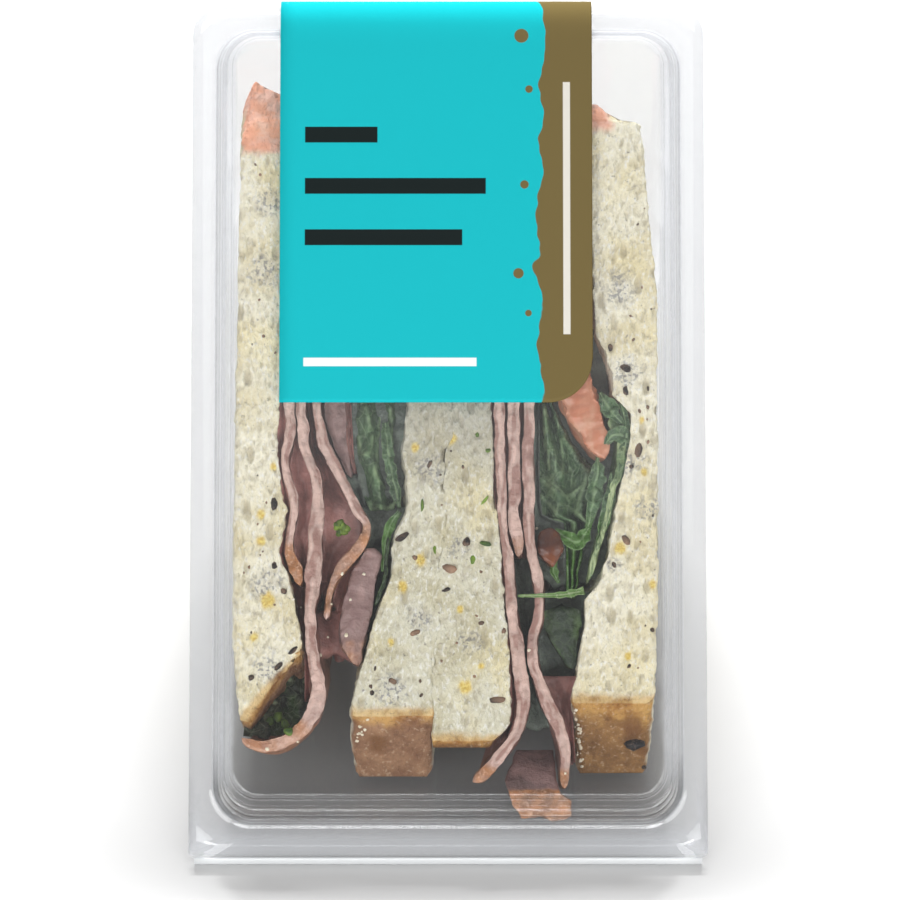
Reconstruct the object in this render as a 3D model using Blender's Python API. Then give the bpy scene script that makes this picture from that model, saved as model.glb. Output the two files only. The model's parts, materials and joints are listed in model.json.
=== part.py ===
"""A bacon, lettuce and tomato sandwich, cut in two, in a clear hinged wedge pack with a paper label.

Everything is laid out in the window's own frame, in millimetres: u runs to the right, v runs up
the window and w comes out of it, with w = 0 where the lid's flange meets the tray's. One empty
holds that frame and leans it back, so that the pack stands on its hinge roll and its heel.
"""

import math

import bmesh
import bpy
import numpy as np

MM = 0.001

# The pack's flange and wall
PACK_WIDTH = 109.4
FLANGE_TOP = 91.4
FLANGE_CORNER = 6.0
HINGE_CORNER = 1.2
WALL = 0.6
TOUCH = 0.35
SEAM_GAP = 0.5
PARTING = 0.15
CORNER_STEPS = 3

# The tray's floor and roof leave the window at 45 degrees and end in a blunt back edge
TRAY_MOUTH_WIDTH = 98.6
TRAY_LOW = -83.6
TRAY_HIGH = 86.2
TRAY_DRAFT = 0.035
TRAY_FLOOR_END = 71.6
TRAY_DEPTH = 80.6
TRAY_CORNER = 8.0
RIB_DEPTHS = (22.0, 34.0, 46.0, 58.0)
RIB_WIDTH = 4.0
RIB_RISE = 0.7

# The hinge roll along the lid's lower edge
ROLL_RADIUS = 0.9
ROLL_V = -90.1
ROLL_STEPS = 8

# The lid's steps up to its window: lowest v, highest v, half width, corner radius, height
LID_STEPS = (
    (-83.3, 85.9, 49.3, 8.0, PARTING),
    (-82.5, 85.2, 48.4, 7.6, 2.8),
    (-79.4, 84.2, 46.9, 6.6, 3.4),
    (-77.6, 83.4, 45.6, 5.8, 5.2),
    (-76.8, 82.8, 44.9, 5.2, 5.6),
)

# The label, on the window, over the top edge and on to the roof behind it
LABEL_LEFT = -35.7
LABEL_RIGHT = 30.6
LABEL_LOW = 5.5
LABEL_CORNER = 9.6
LABEL_THICKNESS = 0.35

# The sandwich's cut faces lie just behind the window, and its layers straighten out behind them
CUT_W = 4.0
LEVEL = -2.0
SETTLED_DEPTH = 45.0
EASED_FROM = 8.0
CORNER_DEPTH = 86.0
CRUST_ROUNDING = 1.6

# Colours: red, green, blue, roughness and how much light passes
CLEAR = (0.93, 0.95, 0.97, 0.05, 0.9)
TURQUOISE = (0.012, 0.56, 0.62, 0.5, 0.0)
CRUMB = (0.80, 0.74, 0.55, 0.9, 0.0)
HAM = (0.56, 0.33, 0.28, 0.45, 0.0)
LEAN_HAM = (0.33, 0.21, 0.19, 0.45, 0.0)
LEAF = (0.10, 0.20, 0.06, 0.45, 0.0)
DARK_LEAF = (0.03, 0.06, 0.04, 0.4, 0.0)
LEAF_RIB = (0.42, 0.46, 0.26, 0.45, 0.0)
TOMATO = (0.78, 0.26, 0.13, 0.3, 0.0)

# Where the two halves touch: v and u down the seam, and its u at the back
SEAM = ((60.0, 1.0), (5.5, 0.4), (-62.0, -3.4))
SEAM_BACK = -0.9

# The four slices of bread. The cut runs between two heights, each tip lies a little behind it,
# and the sides are v and u down the cut face with the u they reach at the back.
OUTER_LEFT = {
    "cut": (-61.8, 60.8),
    "inner_cut": -47.5,
    "low_tip": (-64.0, -9.0),
    "inner_low_tip": (-53.0, -9.0),
    "high_tip": (76.3, -5.0),
    "corner": (-4.0, -77.0),
    "left": ((60.8, -44.0), (5.5, -45.0), (-44.0, -45.4), (-62.0, -43.8)),
    "left_back": -44.5,
    "right": (
        (60.8, -32.5),
        (20.0, -35.0),
        (5.5, -35.8),
        (-5.0, -36.4),
        (-11.5, -35.4),
        (-15.3, -35.0),
        (-17.2, -34.2),
        (-23.2, -35.1),
        (-25.9, -35.9),
        (-30.4, -34.0),
        (-38.9, -32.0),
        (-47.0, -30.4),
    ),
    "right_back": -29.7,
}
INNER_LEFT = {
    "cut": (-60.5, 66.0),
    "low_tip": (-73.1, -8.5),
    "high_tip": (76.0, -6.0),
    "corner": (-2.0, -79.0),
    "left": (
        (60.0, -13.5),
        (20.0, -9.5),
        (5.5, -8.3),
        (-4.7, -9.6),
        (-12.3, -8.5),
        (-15.3, -8.3),
        (-20.0, -10.2),
        (-25.0, -11.9),
        (-31.0, -12.0),
        (-36.0, -14.0),
        (-43.0, -16.4),
        (-50.0, -17.2),
        (-59.0, -20.6),
    ),
    "left_back": -17.9,
    "right": tuple((v, u - SEAM_GAP / 2) for v, u in SEAM),
    "right_back": SEAM_BACK - SEAM_GAP / 2,
}
INNER_RIGHT = {
    "cut": (-65.9, 72.0),
    "low_tip": (-67.2, 2.0),
    "high_tip": (77.0, -4.0),
    "corner": (-2.0, -78.0),
    "left": tuple((v, u + SEAM_GAP / 2) for v, u in SEAM),
    "left_back": SEAM_BACK + SEAM_GAP / 2,
    "right": (
        (60.0, 12.5),
        (20.0, 9.5),
        (5.5, 9.1),
        (-12.8, 9.7),
        (-25.0, 10.9),
        (-35.9, 11.8),
        (-49.3, 12.9),
        (-57.0, 13.3),
        (-62.0, 12.9),
        (-66.0, 10.0),
    ),
    "right_back": 15.0,
}
OUTER_RIGHT = {
    "cut": (-57.8, 65.6),
    "low_tip": (-72.3, -9.6),
    "high_tip": (70.6, -1.2),
    "corner": (-1.0, -79.0),
    "left": (
        (60.0, 29.5),
        (19.8, 31.4),
        (15.7, 33.6),
        (11.7, 34.8),
        (7.4, 34.9),
        (3.2, 38.9),
        (-6.4, 37.8),
        (-14.0, 35.9),
        (-21.7, 34.6),
        (-27.4, 33.7),
        (-33.2, 31.7),
        (-36.1, 28.9),
        (-46.9, 27.8),
        (-55.7, 25.9),
        (-72.0, 26.8),
    ),
    "left_back": 28.6,
    "right": ((65.2, 41.0), (42.7, 42.8), (30.0, 44.2), (-36.0, 44.2), (-56.0, 43.4), (-73.0, 42.2)),
    "right_back": 44.2,
}

# The slices of ham as they show on the cut: u, v and thickness down each one
HAM_LEFT = (
    (
        ((-31.2, 55, 2.0), (-33.3, 20, 2.2), (-33.7, 5.5, 2.2), (-33.2, 0.9, 2.0), (-33.7, -2.6, 2.2))
        + ((-34.5, -6.9, 1.6), (-34.1, -9.8, 1.6), (-32.8, -14.2, 2.0), (-32.5, -17.2, 1.8))
        + ((-32.9, -19.5, 1.8), (-33.5, -23.2, 1.6), (-33.4, -26.5, 1.8), (-32.0, -29.7, 2.4), (-31.2, -33, 1.0)),
        (-28.0, 2.0),
    ),
    (
        ((-27.8, 55, 2.0), (-30.2, 20, 2.2), (-31.0, 5.5, 2.0), (-30.6, 0.9, 2.2), (-30.4, -3, 2.0))
        + ((-28.7, -7.7, 2.0), (-27.8, -9.8, 2.2), (-27.6, -15.3, 2.2), (-27.9, -20.6, 2.5), (-28.4, -30.4, 3.0))
        + ((-28.6, -34, 3.0), (-29.2, -38.5, 2.2), (-28.6, -45.5, 2.3), (-27.5, -54.2, 3.0), (-28.0, -58.4, 3.2))
        + ((-30.0, -62.6, 2.8), (-33.4, -65.6, 2.5), (-38.0, -67.2, 2.3), (-41.8, -66.4, 1.6), (-43.4, -65.2, 0.8)),
        (-25.5, 2.1),
    ),
    (
        ((-25.2, 55, 1.8), (-27.6, 20, 1.8), (-28.1, 5.5, 1.6), (-27.2, 0.9, 1.8), (-26.4, -3, 2.0))
        + ((-25.0, -5.6, 2.0), (-22.0, -11.5, 2.0), (-19.2, -16.9, 1.9), (-17.2, -20.0, 1.8), (-17.6, -22.8, 1.9))
        + ((-19.6, -26.0, 2.4), (-22.3, -29.1, 2.4), (-24.2, -32.1, 1.4), (-25.2, -35.9, 1.2), (-25.6, -40.2, 1.2)),
        (-23.05, 2.0),
    ),
    (
        ((-15.3, -25.2, 3.2), (-17.6, -31.2, 5.2), (-18.5, -35, 5.7), (-19.4, -38.9, 6.0), (-20.2, -43.6, 5.2))
        + ((-20.0, -46.4, 4.2), (-18.9, -50, 1.2)),
        (-20.2, 2.0),
    ),
    (
        ((-23.4, 40, 1.6), (-24.4, 14, 3.8), (-24.1, 5.5, 4.2), (-23.6, 0.9, 3.6), (-22.8, -3, 2.6))
        + ((-21.4, -7.3, 1.5), (-20.5, -9.8, 0.9)),
        (-21.6, 0.2),
    ),
)
HAM_RIGHT = (
    (
        ((14.3, 55, 2.0), (11.5, 20, 2.1), (10.8, 5.5, 2.1), (10.9, -4.3, 2.0), (11.3, -15, 1.8))
        + ((11.9, -21.7, 1.6), (12.6, -27.4, 1.9), (13.3, -35.3, 2.1), (14.1, -42.7, 2.3), (15.1, -50.4, 2.5))
        + ((15.9, -57.2, 2.5), (15.2, -61.6, 2.3), (14.0, -64.8, 2.2), (12.3, -67.2, 2.1), (10.4, -69.4, 2.1))
        + ((8.6, -71.5, 2.1), (6.7, -73.2, 2.1), (5.2, -74.4, 1.2)),
        (16.7, 1.9),
    ),
    (
        ((17.2, 55, 2.0), (14.6, 20, 2.2), (14.1, 5.5, 2.4), (13.9, -15, 2.2), (14.2, -20, 2.3))
        + ((14.8, -23.8, 2.0), (14.8, -27.0, 1.1)),
        (19.1, 1.9),
    ),
    (
        ((20.0, 55, 2.0), (17.4, 20, 2.2), (17.0, 5.5, 2.2), (17.1, -15, 2.2), (17.2, -20, 2.2))
        + ((17.4, -23.8, 1.8), (18.1, -28.0, 1.8), (18.9, -32, 2.2), (19.4, -36.1, 1.8), (19.0, -40.6, 2.0))
        + ((17.8, -44.2, 2.0), (18.0, -48.5, 2.0), (18.9, -53.1, 2.0), (21.2, -58.4, 2.4), (23.4, -63.8, 2.3))
        + ((24.5, -68.3, 2.0), (24.5, -73.5, 1.8), (24.6, -75.8, 1.2)),
        (21.5, 2.0),
    ),
)
# A broad fold of ham low in the right half, and its rind lying in the lid's lower step: for each
# height, its left and right edge and how far forward it lies
LOW_FOLD = (
    (-67.5, 14.6, 22.4, -5.0),
    (-71.0, 13.0, 22.6, -1.6),
    (-74.4, 12.0, 23.0, 1.0),
    (-76.8, 12.4, 23.4, 2.0),
    (-78.2, 12.8, 25.6, 2.2),
    (-79.8, 13.6, 26.0, 1.9),
    (-82.0, 15.0, 25.6, 1.5),
)

# The leaves that show as faces: for each height, the left and right edge
LEFT_LEAF = ((30, -20.0, -14.0), (14, -20.2, -11.6), (5.5, -20.8, -10.2), (-5, -20.2, -11.5)) + (
    (-9.6, -19.1, -11.0),
    (-14, -18.0, -10.4),
    (-16.8, -16.8, -10.6),
)
RIGHT_LEAF = ((40, 20.6, 22.2), (33, 20.1, 21.4), (20, 19.4, 20.8), (14, 19.2, 21.2), (5.5, 19.1, 23.0)) + (
    (-0.6, 19.2, 26.0),
    (-5.7, 19.1, 30.6),
    (-9, 19.1, 33.0),
    (-15, 19.4, 31.8),
    (-18, 19.8, 31.2),
    (-19.4, 24.4, 31.0),
    (-24, 24.8, 29.8),
    (-29, 24.9, 28.4),
    (-35.5, 25.0, 27.4),
)
# The leaves that show as edges: u, v and thickness, with the u and thickness they reach at the back
LEFT_LOW_LEAF = (
    ((-12.5, -22.8, 0.6), (-12.9, -25.6, 0.6), (-13.4, -31, 0.7), (-14.5, -35.2, 0.6), (-15.3, -37.4, 0.4)),
    (-18.5, 0.5),
)
RIGHT_LOW_LEAF = (
    ((24.0, -37.4, 6.4), (24.2, -41.6, 6.4), (24.7, -44.8, 5.2), (25.5, -48, 3.0), (26.2, -50.6, 1.2)),
    (23.8, 1.2),
)
RIB_LEAF = (
    ((34.4, 3.0, 2.2), (35.6, 0.9, 2.8), (36.5, -1.8, 1.9), (36.2, -5, 1.7), (35.6, -9, 1.4), (34.7, -12, 1.2))
    + ((33.6, -16.8, 1.0), (32.4, -21.7, 1.0), (31.0, -26, 1.2), (30.5, -28.7, 1.8), (29.4, -32.4, 0.8)),
    (27.9, 0.8),
)
TOMATO_SLICE = (
    ((23.8, 33, 3.0), (24.8, 19, 6.0), (27.5, 7.0, 7.0), (30.5, 0, 5.8), (32.4, -4, 3.4), (33.2, -6.2, 1.4)),
    (26.3, 2.0),
)
TOMATO_BIT = (
    ((21.7, -20.8, 2.6), (21.5, -23.6, 4.6), (21.7, -26.4, 4.6), (22.1, -29.0, 2.4)),
    (23.1, 0.6),
)


def clear_scene():
    for item in list(bpy.data.objects):
        bpy.data.objects.remove(item)


def window_slope():
    """How far the window leans back when the roll and the heel both touch the floor."""
    heel_v, heel_w = TRAY_LOW + TRAY_FLOOR_END, -TRAY_FLOOR_END
    run = ROLL_V - heel_v
    rise = PARTING - ROLL_RADIUS - heel_w
    return math.atan2(rise, -run) - math.asin(ROLL_RADIUS / math.hypot(run, rise))


def pack_frame():
    frame = bpy.data.objects.new("pack_frame", None)
    bpy.context.scene.collection.objects.link(frame)
    frame.rotation_euler = (window_slope(), 0, 0)
    return frame


def stand(frame):
    """Moves the frame so that the pack stands on the floor, with its box centred over the origin."""
    bpy.context.view_layer.update()
    graph = bpy.context.evaluated_depsgraph_get()
    corners = []
    for item in frame.children:
        shape = item.evaluated_get(graph)
        mesh = shape.to_mesh()
        corners.extend([shape.matrix_world @ vertex.co for vertex in mesh.vertices])
        shape.to_mesh_clear()
    spread = np.array(corners)
    low, high = spread.min(axis=0), spread.max(axis=0)
    frame.location = (-(low[0] + high[0]) / 2, -(low[1] + high[1]) / 2, -low[2])


def material(name, look):
    red, green, blue, roughness, clearness = look
    made = bpy.data.materials.get(name) or bpy.data.materials.new(name)
    made.use_nodes = True
    shader = made.node_tree.nodes["Principled BSDF"]
    shader.inputs["Base Color"].default_value = (red, green, blue, 1)
    shader.inputs["Roughness"].default_value = roughness
    shader.inputs["Metallic"].default_value = 0
    shader.inputs["Transmission Weight"].default_value = clearness
    return made


def place(name, points, faces, look, frame):
    """An object from points in millimetres in the window's frame, with its faces turned outward."""
    mesh = bpy.data.meshes.new(name)
    mesh.from_pydata((np.array(points, float) * MM).tolist(), [], faces)
    form = bmesh.new()
    form.from_mesh(mesh)
    bmesh.ops.remove_doubles(form, verts=form.verts, dist=0.00001)
    bmesh.ops.recalc_face_normals(form, faces=form.faces)
    form.to_mesh(mesh)
    form.free()
    mesh.materials.append(material(f"{name}_look", look))
    mesh.shade_smooth()
    mesh.set_sharp_from_angle(angle=math.radians(40))
    item = bpy.data.objects.new(name, mesh)
    bpy.context.scene.collection.objects.link(item)
    item.parent = frame
    return item


def at(profile, x):
    """Reads a profile, pairs of (x, value), at x."""
    xs, values = zip(*sorted(profile))
    return float(np.interp(x, xs, values))


def mix(a, b, share):
    return a + (b - a) * share


def ease(t):
    t = min(max(t, 0.0), 1.0)
    return t * t * (3 - 2 * t)


def settle(depth):
    """How far the layers have straightened out at that depth behind the cut: 0 there, 1 well back."""
    return ease(depth / SETTLED_DEPTH)


def narrowing(depth):
    """How much of the cut's height is left at that depth, as the slices run to their corner."""
    return max(1 - max(depth - EASED_FROM, 0) / (CORNER_DEPTH - EASED_FROM), 0.15)


def smooth_path(points, count):
    """A smooth curve through the points, read at count places evenly along it."""
    known = np.array(points, float)
    padded = np.vstack([2 * known[0] - known[1], known, 2 * known[-1] - known[-2]])
    dense = []
    for k in range(len(known) - 1):
        a, b, c, d = padded[k : k + 4]
        for t in np.linspace(0, 1, 12, endpoint=False):
            bend = 2 * b + (c - a) * t + (2 * a - 5 * b + 4 * c - d) * t * t
            dense.append((bend + (3 * b - a - 3 * c + d) * t**3) / 2)
    dense = np.array([*dense, known[-1]])
    run = np.concatenate([[0], np.cumsum(np.linalg.norm(np.diff(dense[:, :2], axis=0), axis=1))])
    wanted = np.linspace(0, run[-1], count)
    return np.stack([np.interp(wanted, run, dense[:, k]) for k in range(dense.shape[1])], axis=1)


def stack(layers):
    """Points and faces of a closed solid from grids laid one over the other.

    The first and last grids are its two broad faces, and the rims of all of them shape its edge.
    """
    layers = [np.array(layer, float) for layer in layers]
    rows, columns = layers[0].shape[:2]
    points, faces = [], []

    def face_grid(layer, flip):
        start = len(points)
        points.extend(layer.reshape(-1, 3).tolist())
        for i in range(rows - 1):
            for j in range(columns - 1):
                a = start + i * columns + j
                b, c, d = a + 1, a + columns + 1, a + columns
                for corner in ((a, b, c), (a, c, d)):
                    faces.append(corner[::-1] if flip else corner)

    def rim_of(layer):
        low = [layer[0, j] for j in range(columns)]
        right = [layer[i, -1] for i in range(1, rows)]
        high = [layer[-1, j] for j in range(columns - 2, -1, -1)]
        left = [layer[i, 0] for i in range(rows - 2, 0, -1)]
        return low + right + high + left

    face_grid(layers[0], True)
    face_grid(layers[-1], False)
    rims = [rim_of(layer) for layer in layers]
    size = len(rims[0])
    for below, above in zip(rims, rims[1:]):
        start = len(points)
        points.extend(np.array(below + above).tolist())
        for k in range(size):
            a, b = start + k, start + (k + 1) % size
            faces.append((a, b, b + size))
            faces.append((a, b + size, a + size))
    return points, faces


def sheet(centre, thickness):
    """The two faces of a sheet of that thickness round a grid of points."""
    centre = np.array(centre, float)
    along = np.gradient(centre, axis=0)
    across = np.gradient(centre, axis=1)
    normal = np.cross(along, across)
    normal /= np.maximum(np.linalg.norm(normal, axis=2, keepdims=True), 1e-9)
    half = np.broadcast_to(np.array(thickness, float), centre.shape[:2])[..., None] / 2
    return [centre - normal * half, centre + normal * half]


def rounded_loop(low, high, half_width, corners, depth):
    """A rounded rectangle in the window's plane. corners are the lower and the upper radius."""
    lower, upper = corners
    spots = (
        (half_width - lower, low + lower, lower, -90),
        (half_width - upper, high - upper, upper, 0),
        (upper - half_width, high - upper, upper, 90),
        (lower - half_width, low + lower, lower, 180),
    )
    loop = []
    for u, v, radius, start in spots:
        for step in range(CORNER_STEPS + 1):
            turn = math.radians(start + 90 * step / CORNER_STEPS)
            loop.append((u + radius * math.cos(turn), v + radius * math.sin(turn), depth))
    return loop


def loft(loops):
    """Faces between loops of the same length, with the last one filled."""
    size = len(loops[0])
    points = [point for loop in loops for point in loop]
    faces = []
    for row in range(len(loops) - 1):
        for k in range(size):
            a, b = row * size + k, row * size + (k + 1) % size
            faces.append((a, b, b + size, a + size))
    faces.append(tuple((len(loops) - 1) * size + k for k in range(size)))
    return points, faces


def add_wall(item):
    """Gives a formed sheet its thickness, on the side its faces point to."""
    wall = item.modifiers.new("wall", "SOLIDIFY")
    wall.thickness = WALL * MM
    wall.offset = 1
    wall.use_even_offset = True
    return item


def tray_half_width(depth):
    return TRAY_MOUTH_WIDTH / 2 - 1.6 - TRAY_DRAFT * depth


def tray_range(depth):
    """The lowest and highest v inside the tray at that depth. The heel is level with the ground."""
    low = TRAY_LOW + depth
    if depth > TRAY_FLOOR_END:
        low = TRAY_LOW + TRAY_FLOOR_END + (depth - TRAY_FLOOR_END) / math.tan(window_slope())
    return low, TRAY_HIGH - depth


def make_tray(frame):
    """The tray's flange, the two steps at its mouth, its ribbed walls, its heel and its back edge."""
    half_mouth = TRAY_MOUTH_WIDTH / 2
    flange = (HINGE_CORNER, FLANGE_CORNER)
    loops = [
        rounded_loop(ROLL_V + TOUCH, FLANGE_TOP, PACK_WIDTH / 2, flange, -PARTING),
        rounded_loop(TRAY_LOW - 0.2, TRAY_HIGH + 0.2, half_mouth, (8.0, 8.0), -PARTING),
        rounded_loop(TRAY_LOW + 2.2, TRAY_HIGH - 2.2, half_mouth - 0.5, (7.6, 7.6), -2.4),
        rounded_loop(TRAY_LOW + 3.2, TRAY_HIGH - 3.2, half_mouth - 1.6, (7.2, 7.2), -3.2),
    ]
    for middle in RIB_DEPTHS:
        for offset, rise in ((-0.5, 0), (-0.25, RIB_RISE), (0.25, RIB_RISE), (0.5, 0)):
            depth = middle + offset * RIB_WIDTH
            low, high = tray_range(depth)
            radius = TRAY_CORNER - 0.07 * depth
            loops.append(rounded_loop(low, high, tray_half_width(depth) + rise, (radius, radius), -depth))
    for depth, radius in ((TRAY_FLOOR_END, 2.6), (TRAY_DEPTH, 1.6)):
        low, high = tray_range(depth)
        loops.append(rounded_loop(low, high, tray_half_width(depth), (radius, radius), -depth))
    half = tray_half_width(TRAY_DEPTH) - 1.4
    loops.append(rounded_loop(low + 1.0, high - 1.4, half, (1.2, 1.2), -TRAY_DEPTH - 0.4))
    points, faces = loft(loops)
    add_wall(place("tray", points, [face[::-1] for face in faces], CLEAR, frame))


def make_lid(frame):
    """The lid: its flange, its steps up to a flat window, and the roll along its lower edge."""
    flange = (HINGE_CORNER, FLANGE_CORNER)
    loops = [rounded_loop(ROLL_V, FLANGE_TOP, PACK_WIDTH / 2, flange, PARTING)]
    for low, high, half, radius, height in LID_STEPS:
        loops.append(rounded_loop(low, high, half, (radius, radius), height))
    points, faces = loft(loops)
    ends = (len(loops[0]) - 1, 0)
    half = PACK_WIDTH / 2 - HINGE_CORNER
    for step in range(1, ROLL_STEPS + 1):
        turn = math.pi * step / ROLL_STEPS
        v = ROLL_V - ROLL_RADIUS * math.sin(turn)
        w = PARTING - ROLL_RADIUS * (1 - math.cos(turn))
        points.extend([(-half, v, w), (half, v, w)])
        new_ends = (len(points) - 2, len(points) - 1)
        faces.append((ends[0], new_ends[0], new_ends[1], ends[1]))
        ends = new_ends
    add_wall(place("lid", points, faces, CLEAR, frame))


def make_label(frame):
    """The label's path runs up the window, bridges the lid's shoulder and folds over the top edge."""
    face = LID_STEPS[-1][4] + WALL + TOUCH + LABEL_THICKNESS / 2
    back = 1.0 + TOUCH
    path = [(LABEL_LOW, face), (30.0, face), (60.0, face), (83.2, face), (91.0, 2.2), (92.0, 0.9)]
    path += [(92.0, -0.9), (90.6, -back - 0.2), (89.0, -back - 0.2), (79.0, -10.4), (69.0, -20.4)]
    start = LABEL_RIGHT - LABEL_CORNER
    turns = [start + LABEL_CORNER * math.sin(math.radians(turn)) for turn in (0, 25, 45, 62, 76, 90)]
    columns = np.linspace(LABEL_LEFT, start, 7).tolist() + turns[1:]
    grid = []
    for v, w in path:
        row = []
        for u in columns:
            over = min(max(u - start, 0), LABEL_CORNER)
            lift = LABEL_CORNER - math.sqrt(LABEL_CORNER**2 - over**2) if v == LABEL_LOW else 0
            row.append((u, v + lift, w))
        grid.append(row)
    points, faces = stack(sheet(grid, LABEL_THICKNESS))
    place("label", points, faces, TURQUOISE, frame)


def side(profile, back, v, depth):
    """The u of a layer's side at height v and that depth behind the cut."""
    on_cut = LEVEL + (v - LEVEL) / narrowing(depth)
    return mix(at(profile, on_cut), back, settle(depth))


def slice_rows(shape):
    """Where a slice's rows run, from 0 at its lower tip to 1 at its upper one, with the bends kept."""
    low, high = shape["low_tip"][0], shape["high_tip"][0]
    bends = [v for v, _ in shape["left"] + shape["right"]]
    wanted = [low, low + 1.5, low + 5.0, *shape["cut"], high - 5.0, high - 1.5, high, *bends]
    kept = []
    for v in sorted(wanted):
        if low <= v <= high and (not kept or v - kept[-1] > 2.6 or v == low + 1.5):
            kept.append(v)
    kept[-1] = high
    rows = [kept[0]]
    for v in kept[1:]:
        parts = math.ceil((v - rows[-1]) / 15.0)
        rows.extend(np.linspace(rows[-1], v, parts + 1)[1:].tolist())
    return [(v - low) / (high - low) for v in rows]


def slice_grid(shape, share, inset, columns=7):
    """One layer of a slice: share 0 is its left side and 1 its right, inset draws the crust in."""
    low = mix(shape["cut"][0], shape.get("inner_cut", shape["cut"][0]), share)
    tips = [mix(a, b, share) for a, b in zip(shape["low_tip"], shape.get("inner_low_tip", shape["low_tip"]))]
    high = shape["cut"][1]
    front = (tuple(tips), (low, CUT_W), (high, CUT_W), shape["high_tip"])
    corner_v, corner_w = shape["corner"]
    below = (corner_w - tips[1]) / (corner_v - tips[0])
    above = (corner_w - shape["high_tip"][1]) / (corner_v - shape["high_tip"][0])
    grid = []
    for t in slice_rows(shape):
        v = mix(tips[0] + inset, shape["high_tip"][0] - inset, t)
        front_w = at(front, v)
        floor_w = tips[1] + below * (v - tips[0])
        roof_w = shape["high_tip"][1] + above * (v - shape["high_tip"][0])
        back_w = (floor_w + roof_w) / 2 + math.hypot((floor_w - roof_w) / 2, 5.0)
        back_w = min(back_w + 1.4 * inset, front_w - 1.2)
        row = []
        for j in range(columns):
            w = mix(front_w, back_w, (j / (columns - 1)) ** 1.35)
            left = side(shape["left"], shape["left_back"], v, CUT_W - w)
            right = side(shape["right"], shape["right_back"], v, CUT_W - w)
            row.append((mix(left, right, share), v, w))
        grid.append(row)
    return grid


def make_bread(name, shape, frame):
    edge = 0.11
    layers = [
        slice_grid(shape, 0, CRUST_ROUNDING),
        slice_grid(shape, edge, 0.25),
        slice_grid(shape, 1 - edge, 0.25),
        slice_grid(shape, 1, CRUST_ROUNDING),
    ]
    points, faces = stack(layers)
    place(name, points, faces, CRUMB, frame)


def make_layer(name, piece, look, frame, rows, front=CUT_W, reach=60.0, end_reach=60.0, turned=None):
    """A slice that shows on the cut as a line and runs back between the bread.

    piece is the line and the u and thickness it settles to. reach is how deep it runs, end_reach
    the same at its lower end, and turned the height below which it is only a shallow curl.
    """
    line, (lane, lane_thickness) = piece
    path = smooth_path(line, rows)
    centre, thickness = [], []
    for i, (u, v, thick) in enumerate(path):
        deepest = mix(reach, end_reach, ease(2 * i / (rows - 1) - 1))
        if turned is not None:
            deepest = mix(deepest, 10.0, ease((turned - v) / 5 + 1))
        row, thick_row = [], []
        for j in range(6):
            depth = mix(CUT_W - front, deepest, (j / 5) ** 1.2)
            row.append((mix(u, lane, settle(depth)), LEVEL + (v - LEVEL) * narrowing(depth), CUT_W - depth))
            thick_row.append(mix(thick, lane_thickness, settle(depth)))
        centre.append(row)
        thickness.append(thick_row)
    points, faces = stack(sheet(centre, thickness))
    place(name, points, faces, look, frame)


def make_fold(frame):
    """The broad fold of ham at the bottom right and its rind."""
    grid = []
    for v, left, right, forward in LOW_FOLD:
        row = []
        for j in range(7):
            t = j / 6
            row.append((mix(left, right, t), v, forward - 0.7 * math.sin(math.pi * t)))
        grid.append(row)
    points, faces = stack(sheet(grid, 1.2))
    place("ham_right_4", points, faces, LEAN_HAM, frame)


def make_leaf(name, rows, lane, waves, swing, frame, lowest=-6.0):
    """A leaf that comes forward between the layers and spreads across the cut in upright waves."""
    grid = []
    heights = []
    for above, below in zip(rows, rows[1:]):
        heights.extend([above[0], (above[0] + below[0]) / 2] if above[0] - below[0] > 8 else [above[0]])
    for v in [*heights, rows[-1][0]]:
        left = at([(row[0], row[1]) for row in rows], v)
        right = at([(row[0], row[2]) for row in rows], v)
        row = []
        for depth in (50.0, 28.0, 12.0):
            u = mix(left + 0.5, lane, settle(depth))
            row.append((u, LEVEL + (v - LEVEL) * narrowing(depth), CUT_W - depth))
        for j in range(10):
            t = j / 9
            phase = 2 * math.pi * (waves * t + 0.013 * v)
            w = -1.6 - swing * math.cos(phase) + lowest * t * t * 0.5
            row.append((mix(left + 0.5, right - 0.5, t), v, w))
        grid.append(row)
    points, faces = stack(sheet(grid, 0.7))
    place(name, points, faces, LEAF, frame)


def make_fillings(frame):
    fronts = (3.6, 4.4, 4.1, 2.6, 1.2)
    reaches = (60, 60, 60, 26, 22)
    for k, piece in enumerate(HAM_LEFT):
        name = f"ham_left_{k + 1}"
        look = HAM if k < 3 else LEAN_HAM
        turned = -61.0 if k == 1 else None
        rows = (20, 28, 22, 9, 9)[k]
        make_layer(name, piece, look, frame, rows, fronts[k], reaches[k], reaches[k], turned)
    for k, piece in enumerate(HAM_RIGHT):
        front = (4.3, 3.9, 4.2)[k]
        end_reach = (36, 60, 26)[k]
        make_layer(f"ham_right_{k + 1}", piece, HAM, frame, (26, 12, 26)[k], front, 60, end_reach)
    make_fold(frame)
    make_leaf("lettuce_left", LEFT_LEAF, -20.4, 1.6, 1.5, frame)
    make_leaf("lettuce_right", RIGHT_LEAF, 23.7, 2.2, 1.8, frame)
    make_layer("lettuce_left_low", LEFT_LOW_LEAF, DARK_LEAF, frame, 8, 3.4, 16, 16)
    make_layer("lettuce_right_low", RIGHT_LOW_LEAF, DARK_LEAF, frame, 8, 1.4, 30, 30)
    make_layer("lettuce_right_rib", RIB_LEAF, LEAF_RIB, frame, 18, 3.2, 12, 12)
    make_layer("tomato_slice", TOMATO_SLICE, TOMATO, frame, 10, 3.6, 13, 13)
    make_layer("tomato_bit", TOMATO_BIT, TOMATO, frame, 7, 3.0, 10, 10)


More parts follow.
